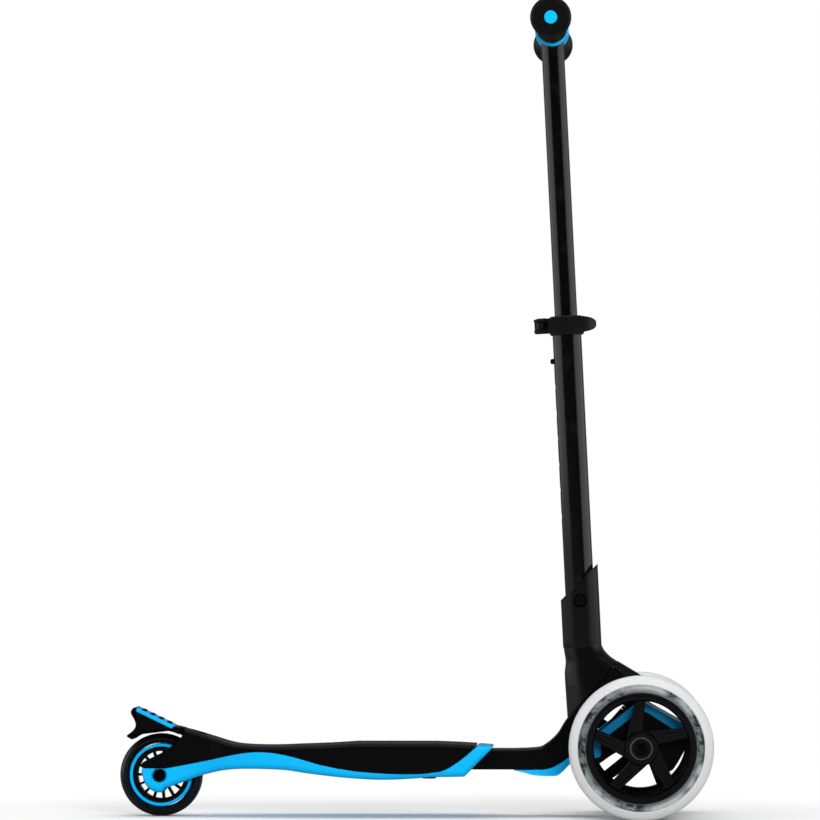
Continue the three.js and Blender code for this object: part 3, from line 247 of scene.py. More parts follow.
# %% [markdown]
# A shape is moved or turned by a matrix, and several shapes can go into one piece. Most pieces here are
# alike on both faces or on both sides. So half of a profile is drawn and flipped, and one span gives its
# twin on the other side, where a mirror modifier would keep both halves in one piece.

# %% Moves and twins
def moved(shape, matrix):
    points, faces = shape
    return [tuple(matrix @ Vector(p)) for p in points], faces


def together(*shapes):
    points, faces = [], []
    for more_points, more_faces in shapes:
        start = len(points)
        points += more_points
        faces += [tuple(i + start for i in face) for face in more_faces]
    return points, faces


def across_slab(outline, low, high):
    """An outline of the side view between two distances to the right."""
    return moved(slab(outline, low, high), SIDE)


def across_rod(radius, low, high, centre, sides=40):
    """The same for a round bar or bore about a point of the side view."""
    return across_slab(circle(radius, sides, centre.x, centre.z), low, high)


def flipped(profile):
    return [(radius, -height) for radius, height in reversed(profile)]


def pair(low, high):
    return (low, high), (-high, -low)


def turns(count, first=0.0):
    """The turns about local Z that share a full circle evenly."""
    return [Matrix.Rotation(first + 2 * math.pi * k / count, 4, "Z") for k in range(count)]


print("the twin of 2 to 5 is", pair(2, 5)[1])

# %% [markdown]
# Pockets, slots and bores are cut with Blender's exact Boolean, which gives true edges where a cutter
# meets a curved wall. The result is read back as points and faces at once, so no cutter stays behind.

# %% Cutting and joining
def placed(name, data):
    thing = bpy.data.objects.new(name, data)
    bpy.context.scene.collection.objects.link(thing)
    return thing


def work_mesh(shape, name="work"):
    mesh = bpy.data.meshes.new(name)
    mesh.from_pydata(shape[0], [], shape[1])
    form = bmesh.new()
    form.from_mesh(mesh)
    bmesh.ops.recalc_face_normals(form, faces=form.faces)
    form.to_mesh(mesh)
    form.free()
    return mesh


def combined(shape, tools, operation):
    objects = [placed("work", work_mesh(part)) for part in (shape, *tools)]
    for tool in objects[1:]:
        boolean = objects[0].modifiers.new("boolean", "BOOLEAN")
        boolean.operation = operation
        boolean.object = tool
        boolean.solver = "EXACT"
    graph = bpy.context.evaluated_depsgraph_get()
    result = objects[0].evaluated_get(graph).to_mesh()
    points = [tuple(v.co) for v in result.vertices]
    faces = [tuple(p.vertices) for p in result.polygons]
    for thing in objects:
        mesh = thing.data
        bpy.data.objects.remove(thing)
        bpy.data.meshes.remove(mesh)
    return points, faces


def cut(shape, *tools):
    return combined(shape, tools, "DIFFERENCE")


def joined(shape, *tools):
    return combined(shape, tools, "UNION")


print("a bored cube has", len(cut(cube, slab(circle(0.3, 6, 0.5, 0.5), -1, 2))[1]), "faces")

# %% [markdown]
# A piece is a shape with a finish, the body that it moves with and the solids that it stands for. Its
# edges catch light only if they are rounded, so a bevel follows each hard edge, and weighted normals
# keep the flat faces flat.

# %% Making a piece
def soften(thing, width, angle, segments=2, clamped=False):
    edge = thing.modifiers.new("bevel", "BEVEL")
    edge.width = width * MM
    edge.segments = segments
    edge.limit_method = "ANGLE"
    edge.angle_limit = math.radians(angle)
    edge.use_clamp_overlap = clamped
    thing.modifiers.new("normals", "WEIGHTED_NORMAL").keep_sharp = True


def piece(name, shape, finish, body, node=None, place=UPRIGHT, bevel=0.0, smooth=38, segments=2):
    mesh = work_mesh(moved(moved(shape, place), Matrix.Scale(MM, 4)), name)
    mesh.polygons.foreach_set("use_smooth", [True] * len(mesh.polygons))
    mesh.set_sharp_from_angle(angle=math.radians(smooth))
    mesh.materials.append(finish.material)
    thing = placed(name, mesh)
    if bevel:
        soften(thing, bevel, smooth, segments)
    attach(thing, body)
    if node:
        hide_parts(node)


def dress(node, finish, bevel=0.3):
    """A solid that stays as it is, with its edges rounded and a finish."""
    solid = frame["nodes"][node]
    solid.data.materials.clear()
    solid.data.materials.append(finish.material)
    soften(solid, bevel, 35, clamped=True)


# %% [markdown]
# Finishes are written as sums on sockets. A wrapped socket knows its material, so 0.3 + grain * 0.2 adds
# the Math nodes by itself. Image textures would need a picture of each part. Noise that is measured in
# the object's own metres gives grain and scuffs that stay with the piece when it moves.

# %% Shader sums
class Channel:
    """A shader socket that takes part in sums."""

    def __init__(self, recipe, socket):
        self.recipe = recipe
        self.socket = socket

    def sum(self, operation, first, second):
        return self.recipe.node("ShaderNodeMath", {"operation": operation}, {0: first, 1: second})

    def __add__(self, other):
        return self.sum("ADD", self, other)

    def __sub__(self, other):
        return self.sum("SUBTRACT", self, other)

    def __rsub__(self, other):
        return self.sum("SUBTRACT", other, self)

    def __mul__(self, other):
        return self.sum("MULTIPLY", self, other)

    __radd__ = __add__
    __rmul__ = __mul__

    def __abs__(self):
        return self.recipe.node("ShaderNodeMath", {"operation": "ABSOLUTE"}, {0: self})

    def or_more(self, other):
        return self.sum("MAXIMUM", self, other)


print("a channel adds, subtracts and multiplies")

# %% [markdown]
# A recipe holds the nodes and ends in an output. One method makes any node from its kind, its settings
# and the values or links of its sockets, so that a finish reads as a short list of what goes where.

# %% Recipes
class Recipe:
    """The nodes of a finish, or those of the light around the scooter."""

    def __init__(self, owner, output_kind):
        owner.use_nodes = True
        self.tree = owner.node_tree
        self.tree.nodes.clear()
        self.output = self.tree.nodes.new(output_kind)

    def node(self, kind, settings, inputs, output=0):
        made_node = self.tree.nodes.new(kind)
        for key, value in settings.items():
            if key == "stops":
                ramp = made_node.color_ramp
                while len(ramp.elements) < len(value):
                    ramp.elements.new(0.5)
                for element, (position, level) in zip(ramp.elements, value):
                    element.position = position
                    element.color = grey(level)
            else:
                setattr(made_node, key, value)
        for key, value in inputs.items():
            if isinstance(value, Channel):
                self.tree.links.new(value.socket, made_node.inputs[key])
            else:
                made_node.inputs[key].default_value = value
        return Channel(self, made_node.outputs[output])

    def mix(self, factor, first, second):
        return self.node("ShaderNodeMix", {"data_type": "RGBA"}, {0: factor, 6: first, 7: second}, 2)

    def blend(self, factor, first, second):
        return self.node("ShaderNodeMix", {"data_type": "FLOAT"}, {0: factor, 2: first, 3: second})

    def vector(self, operation, first, second=(0, 0, 0), output="Vector"):
        return self.node("ShaderNodeVectorMath", {"operation": operation}, {0: first, 1: second}, output)

    def fade(self, value, start, end, first=0.0, last=1.0):
        inputs = {"Value": value, "From Min": start, "From Max": end, "To Min": first, "To Max": last}
        return self.node("ShaderNodeMapRange", {"interpolation_type": "SMOOTHSTEP"}, inputs)

    def is_ray(self, kind):
        return self.node("ShaderNodeLightPath", {}, {}, f"Is {kind} Ray")

    def show(self, shader):
        self.tree.links.new(shader.socket, self.output.inputs["Surface"])
        return self


def grey(level):
    return (level, level, level, 1)


print("a recipe makes nodes")

# %% [markdown]
# A finish is the recipe of a material. Its noises are measured from the piece's own origin, and patches
# turn a noise into islands with soft or hard edges.

# %% Finishes
class Finish(Recipe):
    """A material of the scooter and the record's slot that it belongs to."""

    def __init__(self, name, slot):
        self.slot = slot
        self.material = bpy.data.materials.new(name)
        super().__init__(self.material, "ShaderNodeOutputMaterial")
        self.place = self.node("ShaderNodeTexCoord", {}, {}, "Object")

    def noise(self, scale, detail=2.0, stretch=None):
        place = self.place
        if stretch:
            place = self.node("ShaderNodeMapping", {}, {"Vector": place, "Scale": stretch})
        return self.node("ShaderNodeTexNoise", {}, {"Vector": place, "Scale": scale, "Detail": detail}, "Fac")

    def patches(self, noise, bare, full):
        """Zero where the noise is under one level and one where it is over the other."""
        return self.node("ShaderNodeValToRGB", {"stops": ((bare, 0), (full, 1))}, {"Fac": noise})

    def bump(self, height, strength, distance):
        return self.node("ShaderNodeBump", {}, {"Height": height, "Strength": strength, "Distance": distance})

    def surface(self, inputs):
        return self.show(self.node("ShaderNodeBsdfPrincipled", {}, inputs))


print("a finish has noises, patches, a bump and a surface")

# %% [markdown]
# Most parts are satin nylon. Moulded nylon has a fine spark-eroded grain, and a used scooter has faint
# pale scuffs where scratches and rubbed patches meet. The grain goes into a bump, the scuffs into colour
# and roughness. The same recipe with other colours serves the blue shells and the rubber, and a darker
# copy of the blue paints shade on the truck's bands. Black under a lamp renders lighter than it looks, so
# the blacks are very dark and differ mainly in their gloss.

# %% Moulded plastics and rubber
ALONG_SCRATCHES = (900, 60, 300)
GRAIN_DEPTH = 0.0002


def moulded(name, slot, colour, rough, grain=0.12, grain_size=2600, scuffs=0.5, gloss=0.5):
    finish = Finish(name, slot)
    broad = finish.noise(22, 3)
    fine = finish.noise(grain_size, 1)
    scratches = finish.patches(finish.noise(1.0, 4, ALONG_SCRATCHES), 0.62, 0.72)
    wear = scratches * finish.patches(finish.noise(14, 2), 0.5, 0.68) * scuffs
    worn = tuple(min(1, c * 1.15 + 0.012) for c in colour[:3]) + (1,)
    shade = tuple(c * 0.82 for c in colour[:3]) + (1,)
    return finish.surface({
        "Base Color": finish.mix(wear, finish.mix(broad, shade, colour), worn),
        "Roughness": rough + (broad - 0.5) * 0.12 + wear * 0.2,
        "Normal": finish.bump(fine, grain, GRAIN_DEPTH),
        "Specular IOR Level": gloss,
    })


BLACK = (0.0026, 0.0026, 0.0029, 1)
SHINY_BLACK = (0.0015, 0.0015, 0.0018, 1)
SOFT_BLACK = (0.003, 0.003, 0.0033, 1)
BLUE = (0.0005, 0.49, 0.98, 1)
# A darker copy of the blue for the truck's bands: painted shade for the shade that falls on them inside the
# front wheels.
PAINTED_SHADE_BLUE = (0.0004, 0.16, 0.36, 1)
ELASTOMER_GREY = (0.033, 0.037, 0.042, 1)
black_plastic = moulded("satin_black_nylon", "black_plastic", BLACK, 0.34, gloss=0.16)
rim_plastic = moulded("glossy_black_nylon", "black_plastic", SHINY_BLACK, 0.12, 0.03, gloss=0.4)
blue_plastic = moulded("glossy_blue_plastic", "blue_plastic", BLUE, 0.26, 0.04, scuffs=0.2, gloss=0.22)
sleeve_blue = moulded("gloss_sleeve_blue", "blue_plastic", BLUE, 0.16, 0.02, scuffs=0.2, gloss=0.9)
painted_shade_blue = moulded("painted_shade_blue_plastic", "blue_plastic", PAINTED_SHADE_BLUE, 0.3, 0.04, scuffs=0.2, gloss=0.22)
clamp_plastic = moulded("clamp_black_nylon", "black_plastic", SOFT_BLACK, 0.4, 0.1, gloss=0.7)
head_plastic = moulded("fine_black_nylon", "black_plastic", BLACK, 0.3, 0.06, gloss=0.6)
rubber = moulded("grip_rubber", "black_rubber", (0.003, 0.003, 0.0032, 1), 0.42, 0.3, 1500, gloss=0.6)
tyre_rubber = moulded("cast_black_tyre", "black_tyre", SOFT_BLACK, 0.26, 0.05, 900, gloss=0.9)
bushing = moulded("grey_elastomer", "elastomer", ELASTOMER_GREY, 0.5, 0.2, 1200)
print("moulded finishes up to", bushing.material.name)

# %% [markdown]
# The stem is aluminium tube with a gloss black powder coat. Powder coat flows into a slight orange peel
# under a clear sheen, so a coat layer lies over a nearly black base and a soft, wide bump bends the
# reflections a little.

# %% Powder coat
black_paint = Finish("gloss_black_powder_coat", "black_paint")
peel = black_paint.noise(420, 1)
dust = black_paint.patches(black_paint.noise(60, 5), 0.55, 0.75)
black_paint.surface({
    "Base Color": black_paint.mix(dust, (0.0014, 0.0014, 0.0016, 1), (0.004, 0.004, 0.0045, 1)),
    "Roughness": 0.16 + dust * 0.1,
    "Normal": black_paint.bump(peel, 0.04, 0.0003),
    "Specular IOR Level": 0.9,
    "Coat Weight": 0.5,
    "Coat Roughness": 0.08,
})
print("stem finish", black_paint.material.name)

# %% [markdown]
# The front tyres are cast from milky clear polyurethane around a clear core that holds the lamps. Fully
# clear glass would show the white floor and vanish, and a plain white would look like paint. A part of
# the light passes through and the rest scatters on a pale base. The core's colour holds painted
# reflections as grey, slightly green streaks and smears. It also holds painted light and shade, dark at
# its inner edge and growing pale toward the tyre, so the distance from the axle goes into the colour.

# %% Clear tyre and core
PAINTED_DARK_WITHIN = 0.053
PAINTED_PALE_BEYOND = 0.0602
clear_tyre = Finish("milky_clear_tyre", "clear_tyre")
cloud = clear_tyre.noise(38, 3)
clear_tyre.surface({
    "Base Color": clear_tyre.mix(cloud, (0.74, 0.742, 0.745, 1), (0.84, 0.842, 0.845, 1)),
    "Roughness": 0.24 + cloud * 0.1,
    "Normal": clear_tyre.bump(clear_tyre.noise(60, 1), 0.03, 0.0004),
    "Transmission Weight": 0.22,
    "IOR": 1.46,
})
clear_core = Finish("clear_lamp_core", "clear_core")
# The streaks and smears in the core's colour are painted reflections. Its grading from dark near the axle to
# pale near the tyre is painted light and shade.
painted_reflection_streaks = clear_core.patches(clear_core.noise(1.0, 3, (38, 12, 38)), 0.48, 0.62)
smear_and_painted_reflection = clear_core.patches(clear_core.noise(1.0, 3, (190, 30, 190)), 0.42, 0.6)
from_axle = clear_core.vector("SUBTRACT", clear_core.place, front_axle * MM)
from_axle = clear_core.vector("LENGTH", clear_core.vector("MULTIPLY", from_axle, (1, 0, 1)), output="Value")
painted_light_grading = clear_core.mix(clear_core.fade(from_axle, PAINTED_DARK_WITHIN, PAINTED_PALE_BEYOND),
                      (0.2, 0.225, 0.225, 1), (0.83, 0.86, 0.86, 1))
painted_reflection_tone = clear_core.mix(smear_and_painted_reflection, (0.02, 0.035, 0.035, 1), (0.25, 0.3, 0.3, 1))
clear_core.surface({
    "Base Color": clear_core.mix(painted_reflection_streaks, painted_reflection_tone, painted_light_grading),
    "Roughness": 0.08 + (1 - smear_and_painted_reflection) * 0.14,
    "Normal": clear_core.bump(smear_and_painted_reflection, 0.25, 0.0006),
    "Transmission Weight": 0.4,
    "IOR": 1.47,
})
print("clear finishes", clear_tyre.material.name, clear_core.material.name)

# %% [markdown]
# Bearings, pins and bolts are bright or blackened steel. Turned steel shows fine rings, and zinc or oil
# leaves cloudy patches, so both the tint and the roughness vary.

# %% Metals
def metal(name, slot, bright, dull, rough):
    finish = Finish(name, slot)
    cloudy = finish.noise(90, 4)
    rings = finish.noise(1.0, 2, (1500, 300, 1500))
    return finish.surface({
        "Base Color": finish.mix(cloudy, bright, dull),
        "Roughness": rough + rings * 0.14,
        "Metallic": 1.0,
        "Normal": finish.bump(rings, 0.08, 0.0001),
    })


steel = metal("bright_steel", "steel", grey(0.62), (0.42, 0.43, 0.45, 1), 0.22)
worn_steel = metal("worn_steel", "steel", grey(0.12), grey(0.07), 0.4)
dark_steel = metal("blackened_steel", "dark_steel", grey(0.035), grey(0.02), 0.3)
print("steels", steel.material.name, worn_steel.material.name, dark_steel.material.name)

# %% [markdown]
# Front wheels first. The tyre is one cast ring whose tread narrows to a rounded running face. A torus
# would be too round, so the real profile is turned. It stays a hair inside the wheel's full radius.

# %% Front tyres
TYRE_INNER = 60.1
FLAT_TREAD = 4.6
HAIR = 0.02


def tyre(shoulder, radius, bead, sides):
    """A ring from one face's shoulder and bead, with the running face between the two shoulders."""
    tread = smooth_line([*shoulder, (radius, 0), *flipped(shoulder)], 5)
    return turned([(min(r, radius - HAIR), height) for r, height in tread] + flipped(bead) + bead, sides)


front_tyre = tyre([(TYRE_INNER + 0.9, -wheel_half), (front_radius - 4.0, -9.4), (front_radius - 1.5, -7.1),
                   (front_radius - 0.15, -FLAT_TREAD)], front_radius,
                  [(TYRE_INNER, -wheel_half + 1.2), (TYRE_INNER + 0.2, -wheel_half + 0.3)], 160)
sides = {"right": -1, "left": 1}
hubs = {side: across((front_axle.x, sign * half_track, front_axle.z)) for side, sign in sides.items()}
for side, hub in hubs.items():
    piece(f"tyre_{side}", front_tyre, clear_tyre, f"front_wheel_{side}", f"front_tyre_{side}", hub)
print("front tyre points", len(front_tyre[0]))

# %% [markdown]
# The light core is a clear ring with a groove in each face. Small lamp blocks and their coils sit in it
# and flash as the wheel turns. The blocks are pieces of their own inside the clear ring, and a thin steel
# ring seals its inner edge.

# %% Light cores
CORE_INNER = 52.5
CORE_OUTER = 59.8
CORE_HALF = 10.5
CORE_GROOVE = 1.4
LAMP_COUNT = 5
LAMP_FIRST = math.radians(93)
core_bed = -CORE_HALF + CORE_GROOVE
core_face = [(CORE_INNER, -CORE_HALF), (CORE_INNER + 1.6, -CORE_HALF), (CORE_INNER + 2.4, core_bed),
             (CORE_OUTER - 1.4, core_bed), (CORE_OUTER - 0.8, -CORE_HALF), (CORE_OUTER, -CORE_HALF)]
core = turned(rounded(core_face + flipped(core_face), 0.3), 160)
core_seal = ring(CORE_INNER - 0.2, CORE_INNER + 0.7, -CORE_HALF - 0.4, CORE_HALF + 0.4, 0.2, 160)
lamp = block((54.6, 57.6), (-4.2, 4.2), (-6.0, 6.0), 0.6)
coil_block = block((55.0, 57.2), (6.0, 8.6), (-4.0, 4.0), 0.5)
lamp_turns = turns(LAMP_COUNT, LAMP_FIRST)
lamps = together(*[moved(thing, turn) for turn in lamp_turns for thing in (lamp, coil_block)])
for side, hub in hubs.items():
    wheel = f"front_wheel_{side}"
    piece(f"light_ring_{side}", core, clear_core, wheel, f"light_core_{side}", hub)
    piece(f"lamp_blocks_{side}", lamps, bushing, wheel, None, hub, 0.25)
    piece(f"inner_seal_{side}", core_seal, steel, wheel, None, hub)
print("lamps in each wheel", LAMP_COUNT)

# %% [markdown]
# The rim is black nylon: an outer band with a raised lip on each face, five broad spokes that run
# beside the radius, and a hub with a sleeve for the bearings. Its parts are joined with a Boolean so
# that one bevel runs round every spoke foot.

# %% Front rims
RIM_OUTER = 52.2
RIM_INNER = 45.0
HUB_OUTER = 16.5
BEARING_SEAT = 11.3
SPOKE_COUNT = 5
SPOKE_OFFSET = 8.0
SPOKE_ROOT = 14.0
SPOKE_TIP = 10.0
SPOKE_HALF = 5.0
SPOKE_SINK = 1.4
SPOKE_PHASE = {"right": math.radians(9), "left": 0.0}
rim_half = wheel_half - 0.3
spoke = slab([(8, SPOKE_OFFSET - SPOKE_ROOT / 2), (RIM_INNER + 2, SPOKE_OFFSET - SPOKE_TIP / 2),
              (RIM_INNER + 2, SPOKE_OFFSET + SPOKE_TIP / 2), (8, SPOKE_OFFSET + SPOKE_ROOT / 2)],
             -SPOKE_HALF, SPOKE_HALF)
hollow = rounded([(22, SPOKE_OFFSET - 2.6), (41, SPOKE_OFFSET - 1.8), (41, SPOKE_OFFSET + 1.8),
                  (22, SPOKE_OFFSET + 2.6)], 1.5)
hollows = [slab(hollow, *ends) for ends in reversed(pair(SPOKE_HALF - SPOKE_SINK, SPOKE_HALF + 3))]
rim_lip = [(RIM_INNER + 1.4, -rim_half), (RIM_OUTER - 0.6, -rim_half), (RIM_OUTER, -rim_half + 0.8)]
rim_bed = [(RIM_INNER + 0.6, -SPOKE_HALF - 1), (RIM_INNER, -rim_half + 2.4)]
band = turned(rounded(rim_lip + flipped(rim_lip) + flipped(rim_bed) + rim_bed, 0.5), 120)
hub_face = [(BEARING_SEAT, -wheel_half), (HUB_OUTER - 1.2, -wheel_half), (HUB_OUTER, -wheel_half + 1.6)]
hub_barrel = turned(rounded(hub_face + flipped(hub_face), 0.5), 64)


def bearing_bore(sides):
    return turned([(0, -30), (BEARING_SEAT, -30), (BEARING_SEAT, 30), (0, 30)], sides)


for side, hub in hubs.items():
    places = turns(SPOKE_COUNT, SPOKE_PHASE[side])
    rim = joined(band, *[moved(spoke, turn) for turn in places], hub_barrel)
    rim = cut(rim, bearing_bore(64), *[moved(pocket, turn) for turn in places for pocket in hollows])
    piece(f"rim_{side}", rim, rim_plastic, f"front_wheel_{side}", f"front_rim_{side}", hub, 0.4)
print("rim faces", len(rim[1]))

# %% [markdown]
# Each hub holds two ball bearings. A bearing shows a steel outer ring, a dark rubber seal and a steel
# inner ring. One turned profile with a sunk seal does for all six. The finish is split by radius, so the
# seal is a piece of its own.

# %% Bearings
BEARING_OUTER = 11.0
BEARING_INNER = 4.3
BEARING_HALF = 3.5
SEAL_INNER = 6.6
SEAL_OUTER = 9.3
SEAL_DEPTH = 0.5
seal_bed = -BEARING_HALF + SEAL_DEPTH * 2
race_face = [(BEARING_INNER, -BEARING_HALF), (SEAL_INNER, -BEARING_HALF), (SEAL_INNER, seal_bed),
             (SEAL_OUTER, seal_bed), (SEAL_OUTER, -BEARING_HALF), (BEARING_OUTER, -BEARING_HALF)]
race = turned(rounded(race_face + flipped(race_face), 0.3), 64)
seal = ring(SEAL_INNER, SEAL_OUTER, -BEARING_HALF + SEAL_DEPTH, BEARING_HALF - SEAL_DEPTH, 0.2, 64)
bearings = {f"front_bearing_{end}_{side}": f"front_wheel_{side}"
            for side in sides for end in ("outer", "inner")}
bearings.update({f"rear_bearing_{side}": "rear_wheel" for side in sides})
for node, body in bearings.items():
    seat = across(middle(node))
    piece(node.replace("bearing", "race"), race, steel, body, node, seat)
    piece(node.replace("bearing", "seal"), seal, rubber, body, None, seat)
print("bearings", len(bearings))

# %% [markdown]
# The axle bolts are button heads with a hexagon socket. The head is a turned dome and the socket is cut
# out of it.

# %% Axle bolts
HEX_KEY = 5.2
FRONT_BOLT_HEAD = 6.6
REAR_BOLT_HEAD = 6.4
HEAD_HEIGHT = 3.2
AXLE_RADIUS = 4.0
AXLE_ARM_END = 60
FORK_HALF = 28.0
BOLT_SINK = 1.0
PLAY = 0.3


def button_bolt(head, height, shank, reach, key=HEX_KEY):
    """A bolt along local Z whose head starts at zero. The shank goes down to -reach."""
    dome = [(0, height), (head * 0.45, height), (head * 0.78, height * 0.82), (head * 0.96, height * 0.5),
            (head, height * 0.2), (head, 0)]
    profile = [*smooth_line(dome, 3), (shank, 0), (shank, -reach), (0, -reach)]
    return cut(turned(profile, 48), rod(key / math.sqrt(3), height * 0.35, height + 2, 6))


head_at = half_track + wheel_half + PLAY
front_bolt = button_bolt(FRONT_BOLT_HEAD, HEAD_HEIGHT, AXLE_RADIUS, head_at - AXLE_ARM_END)
for side, sign in sides.items():
    piece(f"axle_bolt_{side}", front_bolt, dark_steel, "truck", f"front_axle_bolt_{side}",
          outward((front_axle.x, sign * head_at, front_axle.z), sign), 0.2)
rear_head_at = FORK_HALF - BOLT_SINK
rear_ends = {sign: outward((rear_axle.x, sign * rear_head_at, rear_axle.z), sign) for sign in sides.values()}
rear_bolt = button_bolt(REAR_BOLT_HEAD, HEAD_HEIGHT, AXLE_RADIUS, 2 * rear_head_at + 1.2)
piece("rear_bolt", rear_bolt, dark_steel, "deck", "rear_axle_bolt", rear_ends[sides["right"]], 0.2)
nut = cut(rod(REAR_BOLT_HEAD, 0, HEAD_HEIGHT, 6), rod(AXLE_RADIUS + PLAY, -1, HEAD_HEIGHT / 2, 32))
piece("rear_nut", nut, dark_steel, "deck", "rear_axle_nut", rear_ends[sides["left"]], 0.4)
print("front bolt heads at", round(head_at, 1), "rear at", round(rear_head_at, 1))

# %% [markdown]
# The rear wheel is a small glossy black one. A blue band sits between the tyre and the spoked rim, and
# the rim has fifteen thin ribs. A rib is pushed out from its own rounded section, since a bevel would
# run wild where the ribs crowd at the hub.

# %% Rear wheel
REAR_RING_INNER = 26.5
REAR_RING_OUTER = 30.5
REAR_RIM_INNER = 22.8
REAR_RIM_OUTER = 27.1
REAR_HUB = 13.5
RIB_COUNT = 15
RIB_WIDTH = 2.4
RIB_HALF = 6.0
rear_hub = across(rear_axle)
rear_shoulder = [(REAR_RING_OUTER + 0.6, -9.4), (rear_radius - 6.4, -11.6),
                 (rear_radius - 4.2, -wheel_half + 0.1), (rear_radius - 1.6, -9.4), (rear_radius - 0.2, -4.6)]
rear_tyre = tyre(rear_shoulder, rear_radius, [(REAR_RING_OUTER + 0.3, -9.0)], 128)
piece("rear_tyre_cast", rear_tyre, tyre_rubber, "rear_wheel", "rear_tyre", rear_hub)
piece("rear_band", ring(REAR_RING_INNER + 0.7, REAR_RING_OUTER - 0.2, -9.5, 9.5, 0.8, 128), blue_plastic,
      "rear_wheel", "rear_rim_ring", rear_hub)
rib_section = rounded([(-RIB_HALF, -RIB_WIDTH / 2), (RIB_HALF, -RIB_WIDTH / 2), (RIB_HALF, RIB_WIDTH / 2),
                       (-RIB_HALF, RIB_WIDTH / 2)], 0.5)
rib = moved(slab(rib_section, 12.4, REAR_RIM_INNER + 1.5), Matrix.Rotation(math.pi / 2, 4, "Y"))
rear_rim = joined(ring(REAR_RIM_INNER, REAR_RIM_OUTER, -9, 9, 0.5),
                  *[moved(rib, turn) for turn in turns(RIB_COUNT, math.pi / RIB_COUNT)],
                  ring(BEARING_SEAT, REAR_HUB, -wheel_half, wheel_half, 0.5, 48))
piece("rear_spokes", cut(rear_rim, bearing_bore(48)), rim_plastic, "rear_wheel", "rear_rim", rear_hub)
print("rear ribs", RIB_COUNT)

# %% [markdown]
# The deck is two nylon mouldings, a black top shell over a glossy blue underbody, and the line between
# them sweeps along the side. A box with bevels would lose the rise to the rear fork and the waist, so the
# deck is a row of rounded cross sections. Each section is cut at the sweep's height, once from above and
# once from below.

# %% Deck lines
DECK_DEPTH = 34.8
deck_top_height = corners("deck_mat")[1].z
deck_clearance = deck_top_height - DECK_DEPTH
lip_x = corners("deck_underbody")[1].x
deck_length = lip_x - rear_axle.x
deck_half = corners("deck_top")[1].y
DECK_TOP = [(0.072, 1.382), (0.109, 1.29), (0.152, 1.167), (0.228, 0.957), (0.324, 0.902), (0.424, 0.925),
            (0.516, 0.957), (0.587, 1)]
DECK_NOSE = [(0.829, 1), (0.92, 0.966), (1, 0.911)]
DECK_BOTTOM = [(0.014, -0.279), (0.068, -0.103), (0.14, 0.129), (0.228, 0.276), (0.366, 0.27), (0.457, 0.161),
               (0.572, 0.046), (0.689, 0), (0.824, 0.072)]
TWO_TONE = [(0.022, 0.29), (0.133, 0.49), (0.247, 0.716), (0.324, 0.753), (0.4, 0.641), (0.503, 0.382),
            (0.622, 0.213), (0.755, 0.161), (0.824, 0.201), (0.865, 0.3), (0.916, 0.615), (0.966, 1.02)]
DECK_WIDTH = [(0.062, 0.5), (0.14, 0.56), (0.2, 0.7), (0.3, 0.86), (0.42, 0.96), (0.55, 1), (0.75, 1),
              (0.9, 0.96), (1, 0.9)]
FORK_REAR_EDGE = [(-0.44, 0.3), (-0.13, 0.46), (0.11, 0.58), (0.36, 0.77), (0.545, 0.96), (0.57, 1.1)]
FORK_END = 16.5
LIP_LENGTH = 26.5


def deck_points(shares, steps=6):
    return [(rear_axle.x + u * deck_length, deck_clearance + v * DECK_DEPTH)
            for u, v in smooth_line(shares, steps)]


fork_edge = smooth_line(about(rear_axle, rear_radius, FORK_REAR_EDGE), 4)
top_line = fork_edge + deck_points(DECK_TOP) + deck_points(DECK_NOSE)
fork_foot = [(rear_axle.x - FORK_END * math.cos(a), rear_axle.z - 0.3 - FORK_END * math.sin(a))
             for a in (math.pi * k / 24 for k in range(14))]
bottom_line = [p for p in fork_foot if p[0] < rear_axle.x + 4] + deck_points(DECK_BOTTOM)
bottom_line += [(lip_x - LIP_LENGTH, deck_clearance + DECK_DEPTH * 0.086),
                (lip_x, deck_clearance + DECK_DEPTH * 0.86)]
sweep_line = deck_points(TWO_TONE, 8)
sweep_line = [(rear_axle.x - rear_radius, sweep_line[0][1]), *sweep_line]
width_line = [(x, (z - deck_clearance) / DECK_DEPTH * deck_half) for x, z in deck_points(DECK_WIDTH)]
width_line = [(rear_axle.x - rear_radius, FORK_HALF), (rear_axle.x + rear_radius / 2, FORK_HALF),
              *width_line[1:]]
print("deck from", round(fork_edge[0][0], 1), "to", round(lip_x, 1), "half width", round(deck_half, 1))

# %% [markdown]
# A section is a rectangle with four rounded corners. Above the sweep it belongs to the black shell and
# below it to the blue one. Points on the wrong side are laid flat on the cut, no wider than the section
# is there, so that the ring keeps its count and its walls stay upright.

# %% Deck sections
CORNER_STEPS = 5
TOP_CORNER = 5.5
FOOT_CORNER = 7.0


def corner_sizes(half, low, high):
    limit = min((high - low) * 0.49, half * 0.5)
    return min(TOP_CORNER, limit), min(FOOT_CORNER, limit)


def section(x, half, low, high):
    """A rounded cross section of the deck at x, as one ring of points."""
    top, foot = corner_sizes(half, low, high)
    centres = ((half - top, high - top, top), (-half + top, high - top, top),
               (-half + foot, low + foot, foot), (half - foot, low + foot, foot))
    ring_points = []
    for quarter, (centre_y, centre_z, radius) in enumerate(centres):
        for k in range(CORNER_STEPS + 1):
            turn = math.radians(90 * quarter + 90 * k / CORNER_STEPS)
            ring_points.append((x, centre_y + radius * math.cos(turn), centre_z + radius * math.sin(turn)))
    return ring_points


def half_at(height, half, low, high):
    """Half the width of the same section at a height."""
    top, foot = corner_sizes(half, low, high)
    above, below = max(0.0, height - high + top), max(0.0, low + foot - height)
    radius, off = (top, above) if above > 0 else (foot, below)
    return half - radius + math.sqrt(max(0.0, radius ** 2 - off ** 2))


def clipped(points, height, measure, side):
    """The part of a section above a height (side 1) or below it (side -1)."""
    wide = half_at(height, *measure)
    return [(px, max(-wide, min(wide, py)), height) if (height - pz) * side > 0 else (px, py, pz)
            for px, py, pz in points]


